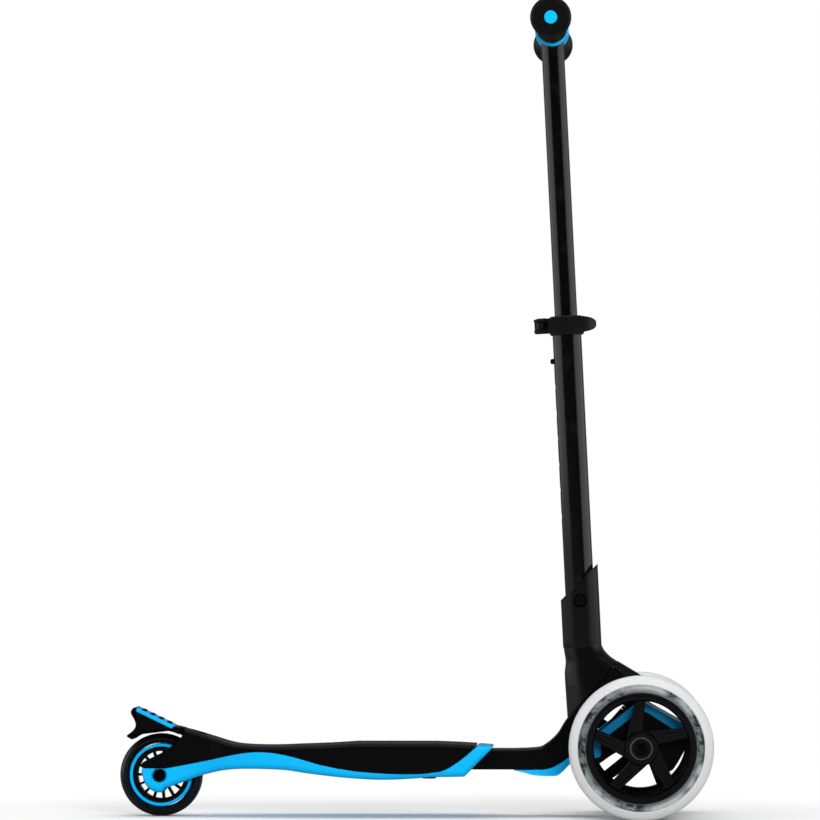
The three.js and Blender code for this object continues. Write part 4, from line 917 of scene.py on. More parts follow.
print("points in a section", len(section(0, deck_half, 0, DECK_DEPTH)))

# %% [markdown]
# The sections run from the rear edge of the fork to the lip, and crowd at the rear, where the deck rises
# steeply. The cuts leave a hairline gap between the shells, which shows as a fine shadow line. The nose
# narrows in plan. Where a part of a section is too thin to show, it is left out.

# %% Two shells
NOSE_ROUND = 7.0
NOSE_DRAW = 3.0
SWEEP_GAP = 0.3
SHADOW_GROOVE = 0.35
THINNEST = 0.4
REAR_LENGTH = 48
REAR_SECTIONS = 40
REAR_CROWDING = 1.4
SECTIONS = 110


def deck_half_at(x):
    to_nose = max(0.0, 1 - (lip_x - x) / NOSE_ROUND)
    return value_at(width_line, x) - NOSE_DRAW * to_nose ** 2


rear_end = fork_edge[0][0] + 0.25
deck_x = [rear_end + REAR_LENGTH * (k / REAR_SECTIONS) ** REAR_CROWDING for k in range(REAR_SECTIONS + 1)]
deck_x += [deck_x[-1] + (lip_x - 0.2 - deck_x[-1]) * k / SECTIONS for k in range(1, SECTIONS + 1)]
top_rings, under_rings = [], []
for x in deck_x:
    measure = (deck_half_at(x), value_at(bottom_line, x), value_at(top_line, x))
    points = section(x, *measure)
    if x > sweep_line[-1][0]:
        under_rings.append(points)
        continue
    split = value_at(sweep_line, x)
    inner = split + SWEEP_GAP / 2 + SHADOW_GROOVE / 2
    if inner < measure[2] - 0.5:
        top_rings.append(clipped(points, inner, measure, 1))
    under_rings.append(clipped(points, split - SWEEP_GAP / 2, measure, -1))
under_rings = [ring_points for ring_points in under_rings
               if max(p[2] for p in ring_points) - min(p[2] for p in ring_points) > THINNEST]
print("deck sections", len(top_rings), len(under_rings))

# %% [markdown]
# Both shells lose the slot for the rear wheel, the channel for the sliding beam, the bore of the axle and
# the wells round the ends of its bolt. The black one also loses the bed of the grip mat, and the blue one
# the bore of the lock button. Two bosses on the inner faces of the fork keep the wheel in its middle.

# %% Deck pockets
SLOT_HALF = 15.5
SLOT_REAR = 60
WELL_CLEARANCE = 4.0
DECK_REACH = 140
BEAM_HALF = 33.0
BEAM_BOTTOM = 46.0
BEAM_TOP = 65.2
BUSH_ROOM = 1.9
TRAVEL_ROOM = 36.6
BOSS_RADIUS = 6.2
LOCK_BORE = 7.3
LOCK_DEPTH = 6.2
MAT_THICK = 1.6
MAT_CORNER = 9.0
LENGTHWISE = Matrix(((0, 0, 1, 0), (1, 0, 0, 0), (0, 1, 0, 0), (0, 0, 0, 1)))
wheel_slot = block((rear_axle.x - SLOT_REAR, rear_axle.x + rear_radius + WELL_CLEARANCE),
                   (-SLOT_HALF, SLOT_HALF), (0, DECK_REACH), 5)
wide, low, high = BEAM_HALF + BUSH_ROOM, BEAM_BOTTOM - BUSH_ROOM, BEAM_TOP + BUSH_ROOM
channel = moved(slab(rounded([(-wide, low), (wide, low), (wide, high), (-wide, high)], 3.5),
                     corners("front_beam")[0].x - TRAVEL_ROOM, lip_x + 20), LENGTHWISE)
bolt_wells = [across_rod(REAR_BOLT_HEAD + 0.7, *ends, rear_axle) for ends in pair(rear_head_at - PLAY, 70)]
axle_bore = across_rod(AXLE_RADIUS + PLAY, -40, 40, rear_axle, 32)
lock_centre = middle("deck_lock_button")
lock_bore = slab(circle(LOCK_BORE, 40, lock_centre.x, 0), 0, deck_clearance + LOCK_DEPTH)
mat_low, mat_high = corners("deck_mat")


def mat_half_at(x, grow=0.0):
    inset = MAT_CORNER - min(x - mat_low.x + grow, mat_high.x - x + grow, MAT_CORNER)
    return mat_high.y + grow - (MAT_CORNER - math.sqrt(max(MAT_CORNER ** 2 - inset ** 2, 0)))


def mat_rings(low, high, grow, stations):
    rings = []
    for x in stations:
        half, deck = mat_half_at(x, grow), value_at(top_line, x)
        rings.append([(x, -half, deck + low), (x, half, deck + low), (x, half, deck + high(x)),
                      (x, -half, deck + high(x))])
    return rings


def mat_stations(grow):
    start, end = mat_low.x - grow, mat_high.x + grow
    ends = [MAT_CORNER * (1 - math.cos(math.radians(9 * k))) for k in range(11)]
    middle_part = [start + MAT_CORNER + (end - start - 2 * MAT_CORNER) * k / 60 for k in range(1, 60)]
    return [start + HAIR + e for e in ends] + middle_part + [end - HAIR - e for e in reversed(ends)]


mat_bed = skinned(mat_rings(-MAT_THICK - PLAY, lambda x: 8, PLAY, mat_stations(PLAY)))
pockets = [wheel_slot, channel, axle_bore, *bolt_wells]
deck_top_shell = cut(skinned(top_rings), *pockets, mat_bed)
underbody = cut(skinned(under_rings), *pockets, lock_bore)
bosses = [moved(ring(AXLE_RADIUS + PLAY, BOSS_RADIUS, *ends, 0.3, 40), across((rear_axle.x, 0, rear_axle.z)))
          for ends in pair(wheel_half + PLAY, SLOT_HALF + 0.4)]
piece("deck_top_shell", deck_top_shell, black_plastic, "deck", "deck_top", UPRIGHT, 0.5, 42)
blue_moulding = together(underbody, *bosses)
piece("deck_blue_underbody", blue_moulding, blue_plastic, "deck", "deck_underbody", UPRIGHT, 0.5, 42)
print("deck faces", len(deck_top_shell[1]), len(underbody[1]))

# %% [markdown]
# The grip mat is a sheet of rubber let into the deck, with grooves across it that carry water and sand
# away. Its top is drawn with the grooves in its stations, so that they are real. Two bushes that guide
# the beam, and the button that locks it, belong to the deck's inside.

# %% Grip mat
GROOVE_PITCH = 7.5
GROOVE_WIDTH = 1.3
GROOVE_DEPTH = 0.6
GROOVE_MARGIN = 14
LOCK_FACE = 7.0
LOCK_TIP = 3.6


def mat_top(x):
    phase = (x - mat_low.x - GROOVE_MARGIN) % GROOVE_PITCH
    inside = mat_low.x + GROOVE_MARGIN < x < mat_high.x - GROOVE_MARGIN
    return -GROOVE_DEPTH if inside and phase < GROOVE_WIDTH else 0.0


stations = mat_stations(0)
x = mat_low.x + GROOVE_MARGIN
while x < mat_high.x - GROOVE_MARGIN:
    stations += [x - 0.1, x + 0.15, x + GROOVE_WIDTH - 0.15, x + GROOVE_WIDTH + 0.1]
    x += GROOVE_PITCH
piece("grip_mat", skinned(mat_rings(-MAT_THICK, mat_top, 0, sorted(stations))), rubber, "deck", "deck_mat")
for end in ("front", "rear"):
    dress(f"beam_bush_{end}", rubber)
lock_low, lock_high = (corner.z for corner in corners("deck_lock_button"))
lock = together(disc(LOCK_FACE, lock_low, lock_low + 5.4, 0.8), disc(LOCK_TIP, lock_low + 5, lock_high))
piece("lock_button", lock, black_plastic, "deck_lock", "deck_lock_button",
      Matrix.Translation((lock_centre.x, 0, 0)))
print("mat stations", len(stations))

# %% [markdown]
# The brake is a fender that the rider presses on the wheel with a heel. Its side has a deep notch at the
# rear, and a blue tread with small black studs lies on its sloping top. The block is pushed across from
# the side outline, and the wheel's circle is cut from below.

# %% Brake
BRAKE_TOP_REAR = (-0.616, 1.652)
BRAKE_TOP_FRONT = (0.401, 1.16)
BRAKE_REAR = [(-0.691, 1.575), (-0.709, 1.497), (-0.616, 1.348), (-0.569, 1.207), (-0.631, 1.083),
              (-0.816, 0.945), (-0.676, 0.858), (-0.4, 0.75), (0.7, 0.75)]
BRAKE_FRONT = [(0.815, 1.03), (0.524, 1.16)]
BRAKE_CORNERS = [2, 3, 4, 6, 8, 9, 5, 1.5, 2, 0.5, 2, 3, 3]
BRAKE_HALF = 26.0
BRAKE_PATH = 43.5
BRAKE_BOSS = 4.6
SPRING_ROOM = (5.2, 4.2)
TONGUE_HALF = 14.9
PAD_HALF = 25.9
PAD_DEEP = 3.3
PAD_INSET = 2.5
PIN_RADIUS = 2.0
BRAKE_REACH = 60
brake_pivot = Vector(joints["brake_press"]["pos_m"]) / MM
brake_shares = [BRAKE_TOP_FRONT, BRAKE_TOP_REAR, *BRAKE_REAR, *BRAKE_FRONT]
brake_side = rounded(about(rear_axle, rear_radius, brake_shares), BRAKE_CORNERS, 5)
slope_rear, slope_front = about(rear_axle, rear_radius, [BRAKE_TOP_REAR, BRAKE_TOP_FRONT])
slope = math.atan2(slope_front[1] - slope_rear[1], slope_front[0] - slope_rear[0])
slope_length = math.dist(slope_rear, slope_front)
on_slope = tilted((slope_rear[0], 0, slope_rear[1]), -slope)
beside = [block((rear_axle.x + rear_radius * 0.47, lip_x), ends, (0, DECK_REACH))
          for ends in pair(TONGUE_HALF, BRAKE_REACH)]
pad_bed = moved(block((PAD_INSET - PLAY, slope_length - PAD_INSET + PLAY), (-BRAKE_REACH, BRAKE_REACH),
                      (-PAD_DEEP - PLAY, 20)), on_slope)
fender = joined(across_slab(brake_side, -BRAKE_HALF, BRAKE_HALF),
                across_rod(BRAKE_BOSS, -TONGUE_HALF, TONGUE_HALF, brake_pivot))
fender = cut(fender, *beside, across_rod(BRAKE_PATH, -BRAKE_REACH, BRAKE_REACH, rear_axle, 96), pad_bed,
             across_rod(PIN_RADIUS + PLAY, -BRAKE_REACH, BRAKE_REACH, brake_pivot, 24),
             across_rod(SPRING_ROOM[0], -SPRING_ROOM[1], SPRING_ROOM[1], brake_pivot))
piece("brake_fender_block", fender, black_plastic, "brake", "brake_fender", UPRIGHT, 0.7, 40)
print("brake slope", round(math.degrees(slope), 1), "length", round(slope_length, 1))

# %% [markdown]
# The tread is a flat pad bedded in the slope. Its studs give the heel a grip. They are black on a blue
# pad, so here they are one piece of their own that stands in its top.

# %% Brake tread and studs
STUD_ROWS = 4
STUD_COLUMNS = 3
STUD_RADIUS = 2.4
STUD_RISE = 0.9
pad = block((PAD_INSET, slope_length - PAD_INSET), (-PAD_HALF, PAD_HALF), (-PAD_DEEP, 0), 2.8)
piece("brake_tread_pad", pad, blue_plastic, "brake", "brake_tread", on_slope, 0.6)
stud = disc(STUD_RADIUS, -1, STUD_RISE, 0.6, 32)
studs = [moved(stud, Matrix.Translation(((row + 1) * slope_length / (STUD_ROWS + 1),
                                         -PAD_HALF + (column + 1) * 2 * PAD_HALF / (STUD_COLUMNS + 1), 0)))
         for row in range(STUD_ROWS) for column in range(STUD_COLUMNS)]
piece("brake_studs", together(*studs), black_plastic, "brake", None, on_slope)
print("studs", len(studs))

# %% [markdown]
# A torsion spring of three turns on the brake's pin lifts the fender off the wheel again. It is a round
# wire wound round the pin, skinned from rings of points.

# %% Brake spring and pin
WIRE = 1.2
TURNS = 3
TURN_STEPS = 24
WIRE_SIDES = 10
coil_radius = PIN_RADIUS + PLAY + WIRE / 2
coil_length = TURNS * (WIRE + 0.6)
coil = []
for k in range(TURNS * TURN_STEPS + 1):
    turn = 2 * math.pi * k / TURN_STEPS
    out = Vector((math.cos(turn), math.sin(turn), 0))
    wire_middle = out * coil_radius + Vector((0, 0, coil_length * (k / (TURNS * TURN_STEPS) - 0.5)))
    coil.append([wire_middle + out * u + Vector((0, 0, v)) for u, v in circle(WIRE / 2, WIRE_SIDES)])
piece("return_spring", skinned(coil), steel, "deck", "brake_spring", across(brake_pivot))
dress("brake_pin", steel, 0.25)
print("spring length", round(coil_length, 1))

# %% [markdown]
# The front frame is one black moulding: a flat beam that slides in the deck, a knee, and a riser that
# ends in two lugs for the kingpin. In the side view it is a ribbon, so it is skinned from pairs of
# points on its upper and lower edges. A station is an upper point, a lower point and half the width.

# %% Front beam
RISER_FACE = 43.0
RISER_UNDER = 17.5
RISER_END = 39.0
LUG_START = 18.0
LUG_END = 31.0
LUG_RADIUS = 10.5
HEAD_BOLT_SPREAD = 18.5
HEAD_BOLT_AT = 4.0
HEAD_BOLT_HOLE = 3.3
HEAD_BOLT_WELL = (5.5, 3.8)
KINGPIN_RADIUS = 4.0
LOCK_SLOT_HALF = 4
BEAM_STRAIGHT = 95.5
KNEE = [(117.9, 66.4, 122.0, 46.3, 32.0), (126.5, 70.1, 136.8, 50.4, 30.6), (137.0, 79.5, 150.6, 59.8, 29.4)]
RISER = [(-29, 28.6), (-8, 28), (14, 27.4), (RISER_END, 26.6)]


def by_kingpin(ahead, along):
    place = kingpin @ Vector((ahead, 0, along))
    return place.x, place.z


def ribbon(stations, corner, steps=5):
    rings = []
    for top_x, top_z, low_x, low_z, half in stations:
        up = Vector((top_x - low_x, 0, top_z - low_z))
        low, up, tall = Vector((low_x, 0, low_z)), up.normalized(), up.length
        flat = rounded([(-half, 0), (half, 0), (half, tall), (-half, tall)], corner, steps)
        rings.append([low + up * v + Vector((0, u, 0)) for u, v in flat])
    return skinned(rings)


def ahead_rod(radius, low, high, aside, along, sides=32):
    return moved(rod(radius, low, high, sides), tilted((0, aside, along), math.pi / 2))


straight = [(x, BEAM_TOP, x, BEAM_BOTTOM, BEAM_HALF) for x in (corners("front_beam")[0].x, BEAM_STRAIGHT)]
riser = [(*by_kingpin(-RISER_FACE, along), *by_kingpin(-RISER_UNDER, along - 2.3 * (along < 0)), half)
         for along, half in RISER]
beam = ribbon([straight[0]] + smooth_line([straight[1], *KNEE, *riser], 8), 4.0)
half_turn = [math.pi * k / 32 for k in range(33)]
lug_outline = [(-RISER_UNDER - 5, LUG_RADIUS), (-RISER_UNDER - 5, -LUG_RADIUS),
               *[(LUG_RADIUS * math.sin(a), -LUG_RADIUS * math.cos(a)) for a in half_turn]]
lugs = [moved(slab(lug_outline, *ends), kingpin) for ends in pair(LUG_START, LUG_END)]
bolt_holes = [moved(ahead_rod(*size, side * HEAD_BOLT_SPREAD, HEAD_BOLT_AT), kingpin) for side in (-1, 1)
              for size in ((HEAD_BOLT_HOLE, -60, -10),
                           (HEAD_BOLT_WELL[0], -RISER_UNDER - HEAD_BOLT_WELL[1], -RISER_UNDER + 6))]
slot_ends = (lock_centre.x - 3.9, lock_centre.x + 44)
lock_slot = slab(rounded([(slot_ends[0], -LOCK_SLOT_HALF), (slot_ends[1], -LOCK_SLOT_HALF),
                          (slot_ends[1], LOCK_SLOT_HALF), (slot_ends[0], LOCK_SLOT_HALF)], 3.6, 6),
                 BEAM_BOTTOM - 2, BEAM_BOTTOM + 6)
beam = cut(joined(beam, *lugs), moved(rod(KINGPIN_RADIUS + PLAY, -120, 120), kingpin), *bolt_holes, lock_slot)
piece("sliding_beam", beam, black_plastic, "front_frame", "front_beam", UPRIGHT, 0.5, 40)
print("beam faces", len(beam[1]))

# %% [markdown]
# A blue hump closes the knee from below, and a small cap closes the riser's end in front of the head.
# Both follow the beam's plan and keep a hairline gap.

# %% Belly trim and nose cap
BELLY = [(95.6, 45.7, 95.6, 45.2, 32.9), (104.1, 45.7, 104.1, 43.5, 32.6), (116.5, 45.8, 116.1, 40.5, 32),
         (127, 46.3, 133.4, 39.9, 31), (137.1, 50.1, 140.2, 42.1, 30), (147.4, 56.9, 150.6, 52.3, 29),
         (150.9, 59.5, 158.6, 61.4, 28.8), (157.6, 67.0, 158.4, 66.4, 28.6)]
piece("belly_hump", ribbon(smooth_line(BELLY, 5), 0.24), blue_plastic, "front_frame", "belly_trim")
CAP = [(-43, 39.4), (-43, 46.2), (-19.8, 50.5), (-8.6, 51.8), (-5.6, 47.9), (-8.6, 39.4)]
CAP_HALF = 26.0
CAP_FACE = [(-CAP_HALF, 0.07), (-CAP_HALF + 0.9, 0.02), (-CAP_HALF + 2.6, 0)]
cap_side = rounded([by_kingpin(*p) for p in CAP], [0.3, 0.3, 6, 2.5, 2.5, 1], 5)
cap_x, cap_z = by_kingpin(-30, 44)
cap_rings = [[(x + (cap_x - x) * inset, y, z + (cap_z - z) * inset) for x, z in cap_side]
             for y, inset in CAP_FACE + [(-y, inset) for y, inset in reversed(CAP_FACE)]]
piece("riser_cap", skinned(cap_rings), head_plastic, "front_frame", "nose_cap", UPRIGHT, 0.25)
print("cap rings", len(cap_rings))

# %% [markdown]
# The kingpin bolt passes through the lugs, two soft bushings and the truck's barrel. The bushings bring
# the truck back to the middle after a turn. Two more bolts hold the head on the riser.

# %% Kingpin and head bolts
KINGPIN_HEAD = 7.5
HEAD_SCREW = (5.2, 3.4, 3.0, 31, 3.6)
BUSHING_RADIUS = 11
BUSHING_TALL = 3.4
shank = disc(KINGPIN_RADIUS, -38.4, 31.6, 0.3, 40)
hex_head = cut(rod(KINGPIN_HEAD, 31.3, 36.8, 6), turned([(5.4, 38), (9, 34.6), (9, 38)], 40))
piece("kingpin_bolt", together(shank, hex_head), steel, "front_frame", "kingpin", kingpin, 0.3)
lock_nut = cut(rod(KINGPIN_HEAD, -38.3, -31.3, 6), rod(KINGPIN_RADIUS + PLAY, -40, -30, 32))
piece("kingpin_lock_nut", lock_nut, steel, "front_frame", "kingpin_nut", kingpin, 0.4)
for name, low in (("upper", 14.3), ("lower", -17.7)):
    cushion = ring(KINGPIN_RADIUS + PLAY, BUSHING_RADIUS, low, low + BUSHING_TALL, 0.9, 48)
    piece(f"centring_bushing_{name}", cushion, bushing, "front_frame", f"kingpin_bushing_{name}", kingpin)
screw = button_bolt(*HEAD_SCREW)
for side, sign in sides.items():
    screw_at = (-RISER_UNDER - HEAD_BOLT_WELL[1], sign * HEAD_BOLT_SPREAD, HEAD_BOLT_AT)
    piece(f"head_screw_{side}", screw, dark_steel, "front_frame", f"head_bolt_{side}",
          kingpin @ tilted(screw_at, math.pi / 2), 0.15)
print("screw faces", len(screw[1]))

# %% [markdown]
# The head is the black moulding that carries the stem: a round socket above a skirt that widens down to
# the riser. A subdivided cube would need hand pushing. The skirt is skinned from rounded rings whose
# front and back run as in the side view, and the riser's face is cut off it. A ring is given by its
# height, back, front and half width in shares of the socket's radius.

# %% Head
SOCKET_RADIUS = 18.7
SOCKET_WAIST = 163.0
SOCKET_RIM = 226.6
RIM_SLOPE = math.radians(42)
SQUARER = 0.4
SQUARER_BELOW = 0.2
SQUARER_WITHIN = 0.8
HEAD_REACH = 200
TUBE_RADIUS = 14.0
STEM_BUTTON_AT = stem_at(SOCKET_RIM) - 18.22
BUTTON_RECESS = (6.6, 13.4)
HEAD_RINGS = [(-3.9, -0.76, 2.9, 1.52), (-1.95, -0.89, 2.9, 1.4), (-1.3, -0.92, 2.6, 1.25),
              (-0.77, -0.87, 1.92, 1.12), (-0.45, -0.9, 1.45, 1.05), (-0.12, -0.955, 1.13, 1.0),
              (0.2, -0.985, 0.97, 0.97)]
SOCKET_RINGS = [(0.0, 0.93), (0.6, 0.965), (1.6, 0.99), (3.2, 1.0)] + [(k * 6.0, 1.0) for k in range(1, 17)]
stem_middle = stem @ Vector((0, 0, stem_at(SOCKET_WAIST)))


def head_ring(height, back, front, half, sides=56):
    points = []
    squareness = 2.0 + SQUARER * min(1.0, max(0.0, SQUARER_BELOW - height) / SQUARER_WITHIN)
    for c, s in circle(1, sides):
        along = math.copysign(abs(c) ** (2 / squareness), c)
        aside = math.copysign(abs(s) ** (2 / squareness), s)
        reach = (front + back) / 2 + (front - back) / 2 * along
        points.append((stem_middle.x + SOCKET_RADIUS * reach, SOCKET_RADIUS * half * aside,
                       SOCKET_WAIST + height * SOCKET_RADIUS))
    return points


skirt = skinned([head_ring(*share) for share in [HEAD_RINGS[0]] + smooth_line(HEAD_RINGS[1:], 5)])
socket_foot = stem_at(SOCKET_WAIST) - 0.5
socket = moved(skinned([[(x, y, socket_foot + rise) for x, y in circle(SOCKET_RADIUS * share, 96)]
                        for rise, share in SOCKET_RINGS]), stem)
rim_cut = stem @ Matrix.Translation((0, 0, stem_at(SOCKET_RIM))) @ Matrix.Rotation(-RIM_SLOPE, 4, "Y")
riser_side = moved(block((-RISER_FACE - PLAY, HEAD_REACH), (-HEAD_REACH / 2, HEAD_REACH / 2),
                         (-HEAD_REACH, HEAD_REACH)), kingpin)
over_rim = moved(block((-HEAD_REACH, HEAD_REACH), (-HEAD_REACH, HEAD_REACH), (0, HEAD_REACH)), rim_cut)
recess = [moved(rod(BUTTON_RECESS[0], *ends, 48), stem @ across((0, 0, STEM_BUTTON_AT)))
          for ends in pair(BUTTON_RECESS[1], 30)]
screw_bores = [moved(ahead_rod(HEAD_BOLT_HOLE, -RISER_FACE - 10.3, -RISER_FACE + 5, side * HEAD_BOLT_SPREAD,
                               HEAD_BOLT_AT), kingpin) for side in (-1, 1)]
head = cut(joined(skirt, socket), over_rim, riser_side)
head = cut(head, moved(rod(TUBE_RADIUS + PLAY, -PLAY, HEAD_REACH, 96), stem), *recess, *screw_bores)
piece("stem_head", head, head_plastic, "front_frame", "head", UPRIGHT, 0.6, 34)
print("head faces", len(head[1]))

# %% [markdown]
# A round button on each side of the head releases the stem. It has a low crown, and a flange at its root
# keeps it inside the tube.

# %% Stem buttons
BUTTON_RISE = 1.35
button = turned([(0, -5.2), (6.4, -5.2), (6.4, -4.2), (4.6, -4.2), (4.6, 0), (4.3, 0.7), (3.4, 1.2),
                 (0, BUTTON_RISE)], 48)
for side, sign in sides.items():
    name = f"stem_button_{side}"
    at, face = middle(name), max(abs(corner.y) for corner in corners(name))
    piece(f"release_button_{side}", button, black_plastic, name, name,
          outward((at.x, sign * (face - BUTTON_RISE), at.z), sign), 0.1)
print("stem buttons at", round(STEM_BUTTON_AT, 1))

# %% [markdown]
# The truck carries both front wheels and leans on the kingpin. Its fairing has the side view of a low
# arch with a pointed belly, and a blue band lies in the upper edge on each side. It is pushed across the
# scooter. The room of the riser and its lugs is cut out of the middle, and a barrel round the kingpin and
# two arms for the axle bolts are joined on. The bands get a darker blue, which is painted shade.

# %% Truck
TRIM_OUTER = [(-0.676, 0.116), (-0.504, 0.261), (-0.041, 0.616), (0.027, 0.638), (0.092, 0.601),
              (0.66, 0.283), (0.679, 0.217)]
TRIM_INNER = [(0.604, 0.152), (0.076, 0.486), (0.005, 0.507), (-0.076, 0.449), (-0.466, 0.157),
              (-0.553, 0.072), (-0.553, -0.13), (-0.676, -0.16)]
TRUCK_LOWER = [(0.643, 0.043), (0.527, -0.174), (0.425, -0.333), (0.324, -0.333), (0.208, -0.159),
               (-0.009, -0.203), (-0.256, -0.043), (-0.366, -0.077), (-0.618, -0.255), (-0.676, -0.203)]
TRUCK_HALF = 84.0
TRUCK_CHANNEL = 38.0
BARREL_RADIUS = 11
BARREL_HALF = 14.5
ARM_RADIUS = 10.5
ARM_TIP = (6.2, 1.7)
LUG_ROOM = 12.3
TRUCK_REACH = 150
fairing_side = rounded(about(front_axle, front_radius, TRIM_OUTER + TRUCK_LOWER), 5.0, 4)
band_side = rounded(about(front_axle, front_radius, TRIM_OUTER + TRIM_INNER),
                    [3] * 6 + [1, 1] + [3] * 6 + [1], 4)
seat_side = rounded(about(front_axle, front_radius, TRIM_INNER + [(-1, -0.16), (-1, 1), (1, 1), (1, 0.2)]),
                    [3] * 6 + [1] * 6, 4)
seats = [across_slab(seat_side, *ends) for ends in pair(TRUCK_CHANNEL - PLAY, 120)]
truck_channel = moved(block((-TRUCK_REACH, 2), (-TRUCK_CHANNEL, TRUCK_CHANNEL), (-TRUCK_REACH, TRUCK_REACH)),
                      kingpin)
fairing = cut(across_slab(fairing_side, -TRUCK_HALF, TRUCK_HALF), truck_channel, *seats)
arm_end = half_track - wheel_half - 2
axle_line = across((front_axle.x, 0, front_axle.z))
tip_end = arm_end + ARM_TIP[1]
arms = [moved(disc(ARM_RADIUS, -arm_end, arm_end, 0.8, 56), axle_line),
        moved(disc(ARM_TIP[0], -tip_end, tip_end, 0.3, 40), axle_line)]
truck = joined(fairing, moved(rod(BARREL_RADIUS, -BARREL_HALF, BARREL_HALF, 56), kingpin), *arms)
lug_rooms = [moved(rod(LUG_ROOM, *ends, 48), kingpin) for ends in pair(BARREL_HALF - 0.5, TRUCK_REACH)]
axle_bores = [moved(rod(AXLE_RADIUS + PLAY, *ends, 32), axle_line)
              for ends in pair(AXLE_ARM_END - PLAY, TRUCK_REACH)]
pin_bore = moved(rod(KINGPIN_RADIUS + PLAY, -TRUCK_REACH, TRUCK_REACH), kingpin)
truck = cut(truck, pin_bore, *lug_rooms, *axle_bores)
piece("truck_fairing", truck, black_plastic, "truck", "truck", UPRIGHT, 0.5, 40)
# The bands' darker blue is painted shade, not a colour of their own.
for side, ends in zip(sides, pair(TRUCK_CHANNEL, TRUCK_HALF)):
    piece(f"fairing_band_{side}", across_slab(band_side, *ends), painted_shade_blue, "truck", f"truck_trim_{side}",
          UPRIGHT, 0.3, 34)
print("truck faces", len(truck[1]))

# %% [markdown]
# The stem is two aluminium tubes that telescope. The outer one has seven holes at its rear for the snap
# button of the height setting, and a thin nylon sleeve lies between the tubes.

# %% Stem tubes
CLAMP_TOP = stem_at(484.4)
TUBE_TOP = CLAMP_TOP - 1.5
TUBE_BORE = 11.9
SLEEVE_LENGTH = 30.3
INNER_RADIUS = 11.0
INNER_BORE = 9.2
INNER_FOOT = 26
HEIGHT_BUTTON_AT = CLAMP_TOP - 43.35
HEIGHT_STEP = 25.0
HEIGHT_HOLES = 7
HEIGHT_HOLE = 2.9
BUTTON_HOLE = 4.9
CROSS_AT = stem_at(middle("t_joint").z)
holes = [ahead_rod(HEIGHT_HOLE, -30, 0, 0, HEIGHT_BUTTON_AT - k * HEIGHT_STEP) for k in range(HEIGHT_HOLES)]
sleeve_room = rod(INNER_RADIUS + 1.2, TUBE_TOP - SLEEVE_LENGTH, TUBE_TOP + 5, 64)
lower = cut(ring(TUBE_BORE, TUBE_RADIUS, 0, TUBE_TOP), sleeve_room, *holes,
            moved(rod(BUTTON_HOLE, -30, 30), across((0, 0, STEM_BUTTON_AT))))
piece("lower_tube", lower, black_paint, "front_frame", "outer_tube", stem, 0.2, 40)
dress("tube_sleeve", black_plastic, 0.1)
upper = cut(ring(INNER_BORE, INNER_RADIUS, HEIGHT_BUTTON_AT - INNER_FOOT, CROSS_AT, 0.3),
            moved(rod(INNER_RADIUS + PLAY, -60, 60, 64), across((0, 0, CROSS_AT))), holes[0])
piece("upper_tube", upper, black_paint, "handlebar", "inner_tube", stem, 0.2, 40)
to_rear = tilted((-TUBE_RADIUS - 2.0, 0, HEIGHT_BUTTON_AT), -math.pi / 2)
snap = moved(turned([(0, -9.6), (2.6, -9.6), (2.6, 0), (2.2, 0.9), (1.3, 1.3), (0, 1.4)], 32), to_rear)
piece("height_snap_button", snap, black_plastic, "height_button", "height_button", stem)
print("tubes up to", round(CROSS_AT, 1))

# %% [markdown]
# The clamp is a split collar with two ears. A bolt draws the ears together, and the lever turns on a pin
# through the bolt's eye. The collar's bore is turned by a part of a degree, so that no corner of it meets
# a corner of the collar.

# %% Clamp
CLAMP_HEIGHT = 18.6
CLAMP_RADIUS = 18.0
EAR_REACH = 31.0
EAR_OUTER = 12.2
BORE_TURN = 0.011
LEVER_HALF = 6.4
LEVER_PIVOT = (-25.0, -19.0)
CLAMP_BOLT = 2.6
CLAMP_NUT = 6
EYE_RADIUS = 4.4
EYE_HALF = 3.4
EAR_GAP = 1.4
LEVER_PIN = 1.8
clamp_low = CLAMP_TOP - CLAMP_HEIGHT
clamp_mid = CLAMP_TOP - CLAMP_HEIGHT / 2
clear_through = (clamp_low - 5, CLAMP_TOP + 5)
lever_span = (clamp_mid - LEVER_HALF, clamp_mid + LEVER_HALF)
bolt_line = across((LEVER_PIVOT[0], 0, clamp_mid))
collar_edge = [(TUBE_RADIUS + 1.2, 0), (CLAMP_RADIUS - 1.5, 1.6), (CLAMP_RADIUS - 0.4, 4.6),
               (CLAMP_RADIUS, CLAMP_HEIGHT / 2)]
collar_line = smooth_line(collar_edge + [(r, CLAMP_HEIGHT - h) for r, h in reversed(collar_edge[:-1])], 4)
collar_line = [(0, clamp_low), *[(r, clamp_low + h) for r, h in collar_line], (0, CLAMP_TOP)]
collar = joined(turned(collar_line), block((-EAR_REACH, -10), (-EAR_OUTER, EAR_OUTER), lever_span, 2.0))
collar = cut(collar, moved(rod(TUBE_RADIUS + PLAY, *clear_through, 96), Matrix.Rotation(BORE_TURN, 4, "Z")),
             block((-EAR_REACH - 5, -TUBE_RADIUS + 5), (-EAR_GAP, EAR_GAP), clear_through),
             moved(rod(CLAMP_BOLT + PLAY, -30, 30, 32), bolt_line))
piece("split_collar", collar, clamp_plastic, "front_frame", "clamp_collar", stem, 0.35, 40)
eye = moved(disc(EYE_RADIUS, -EYE_HALF, EYE_HALF, 0.5, 40), Matrix.Translation((*LEVER_PIVOT, clamp_mid)))
draw_rod = moved(rod(CLAMP_BOLT, -(EAR_OUTER + 5), -LEVER_PIVOT[1], 32), bolt_line)
pin_room = slab(circle(LEVER_PIN + PLAY, 24, *LEVER_PIVOT), clamp_low, CLAMP_TOP)
piece("draw_bolt", cut(joined(eye, draw_rod), pin_room), worn_steel, "front_frame", "clamp_bolt", stem, 0.2)
draw_nut = cut(rod(CLAMP_NUT, -19.7, -EAR_OUTER - PLAY, 6), rod(CLAMP_BOLT + PLAY, -17.4, 0, 24))
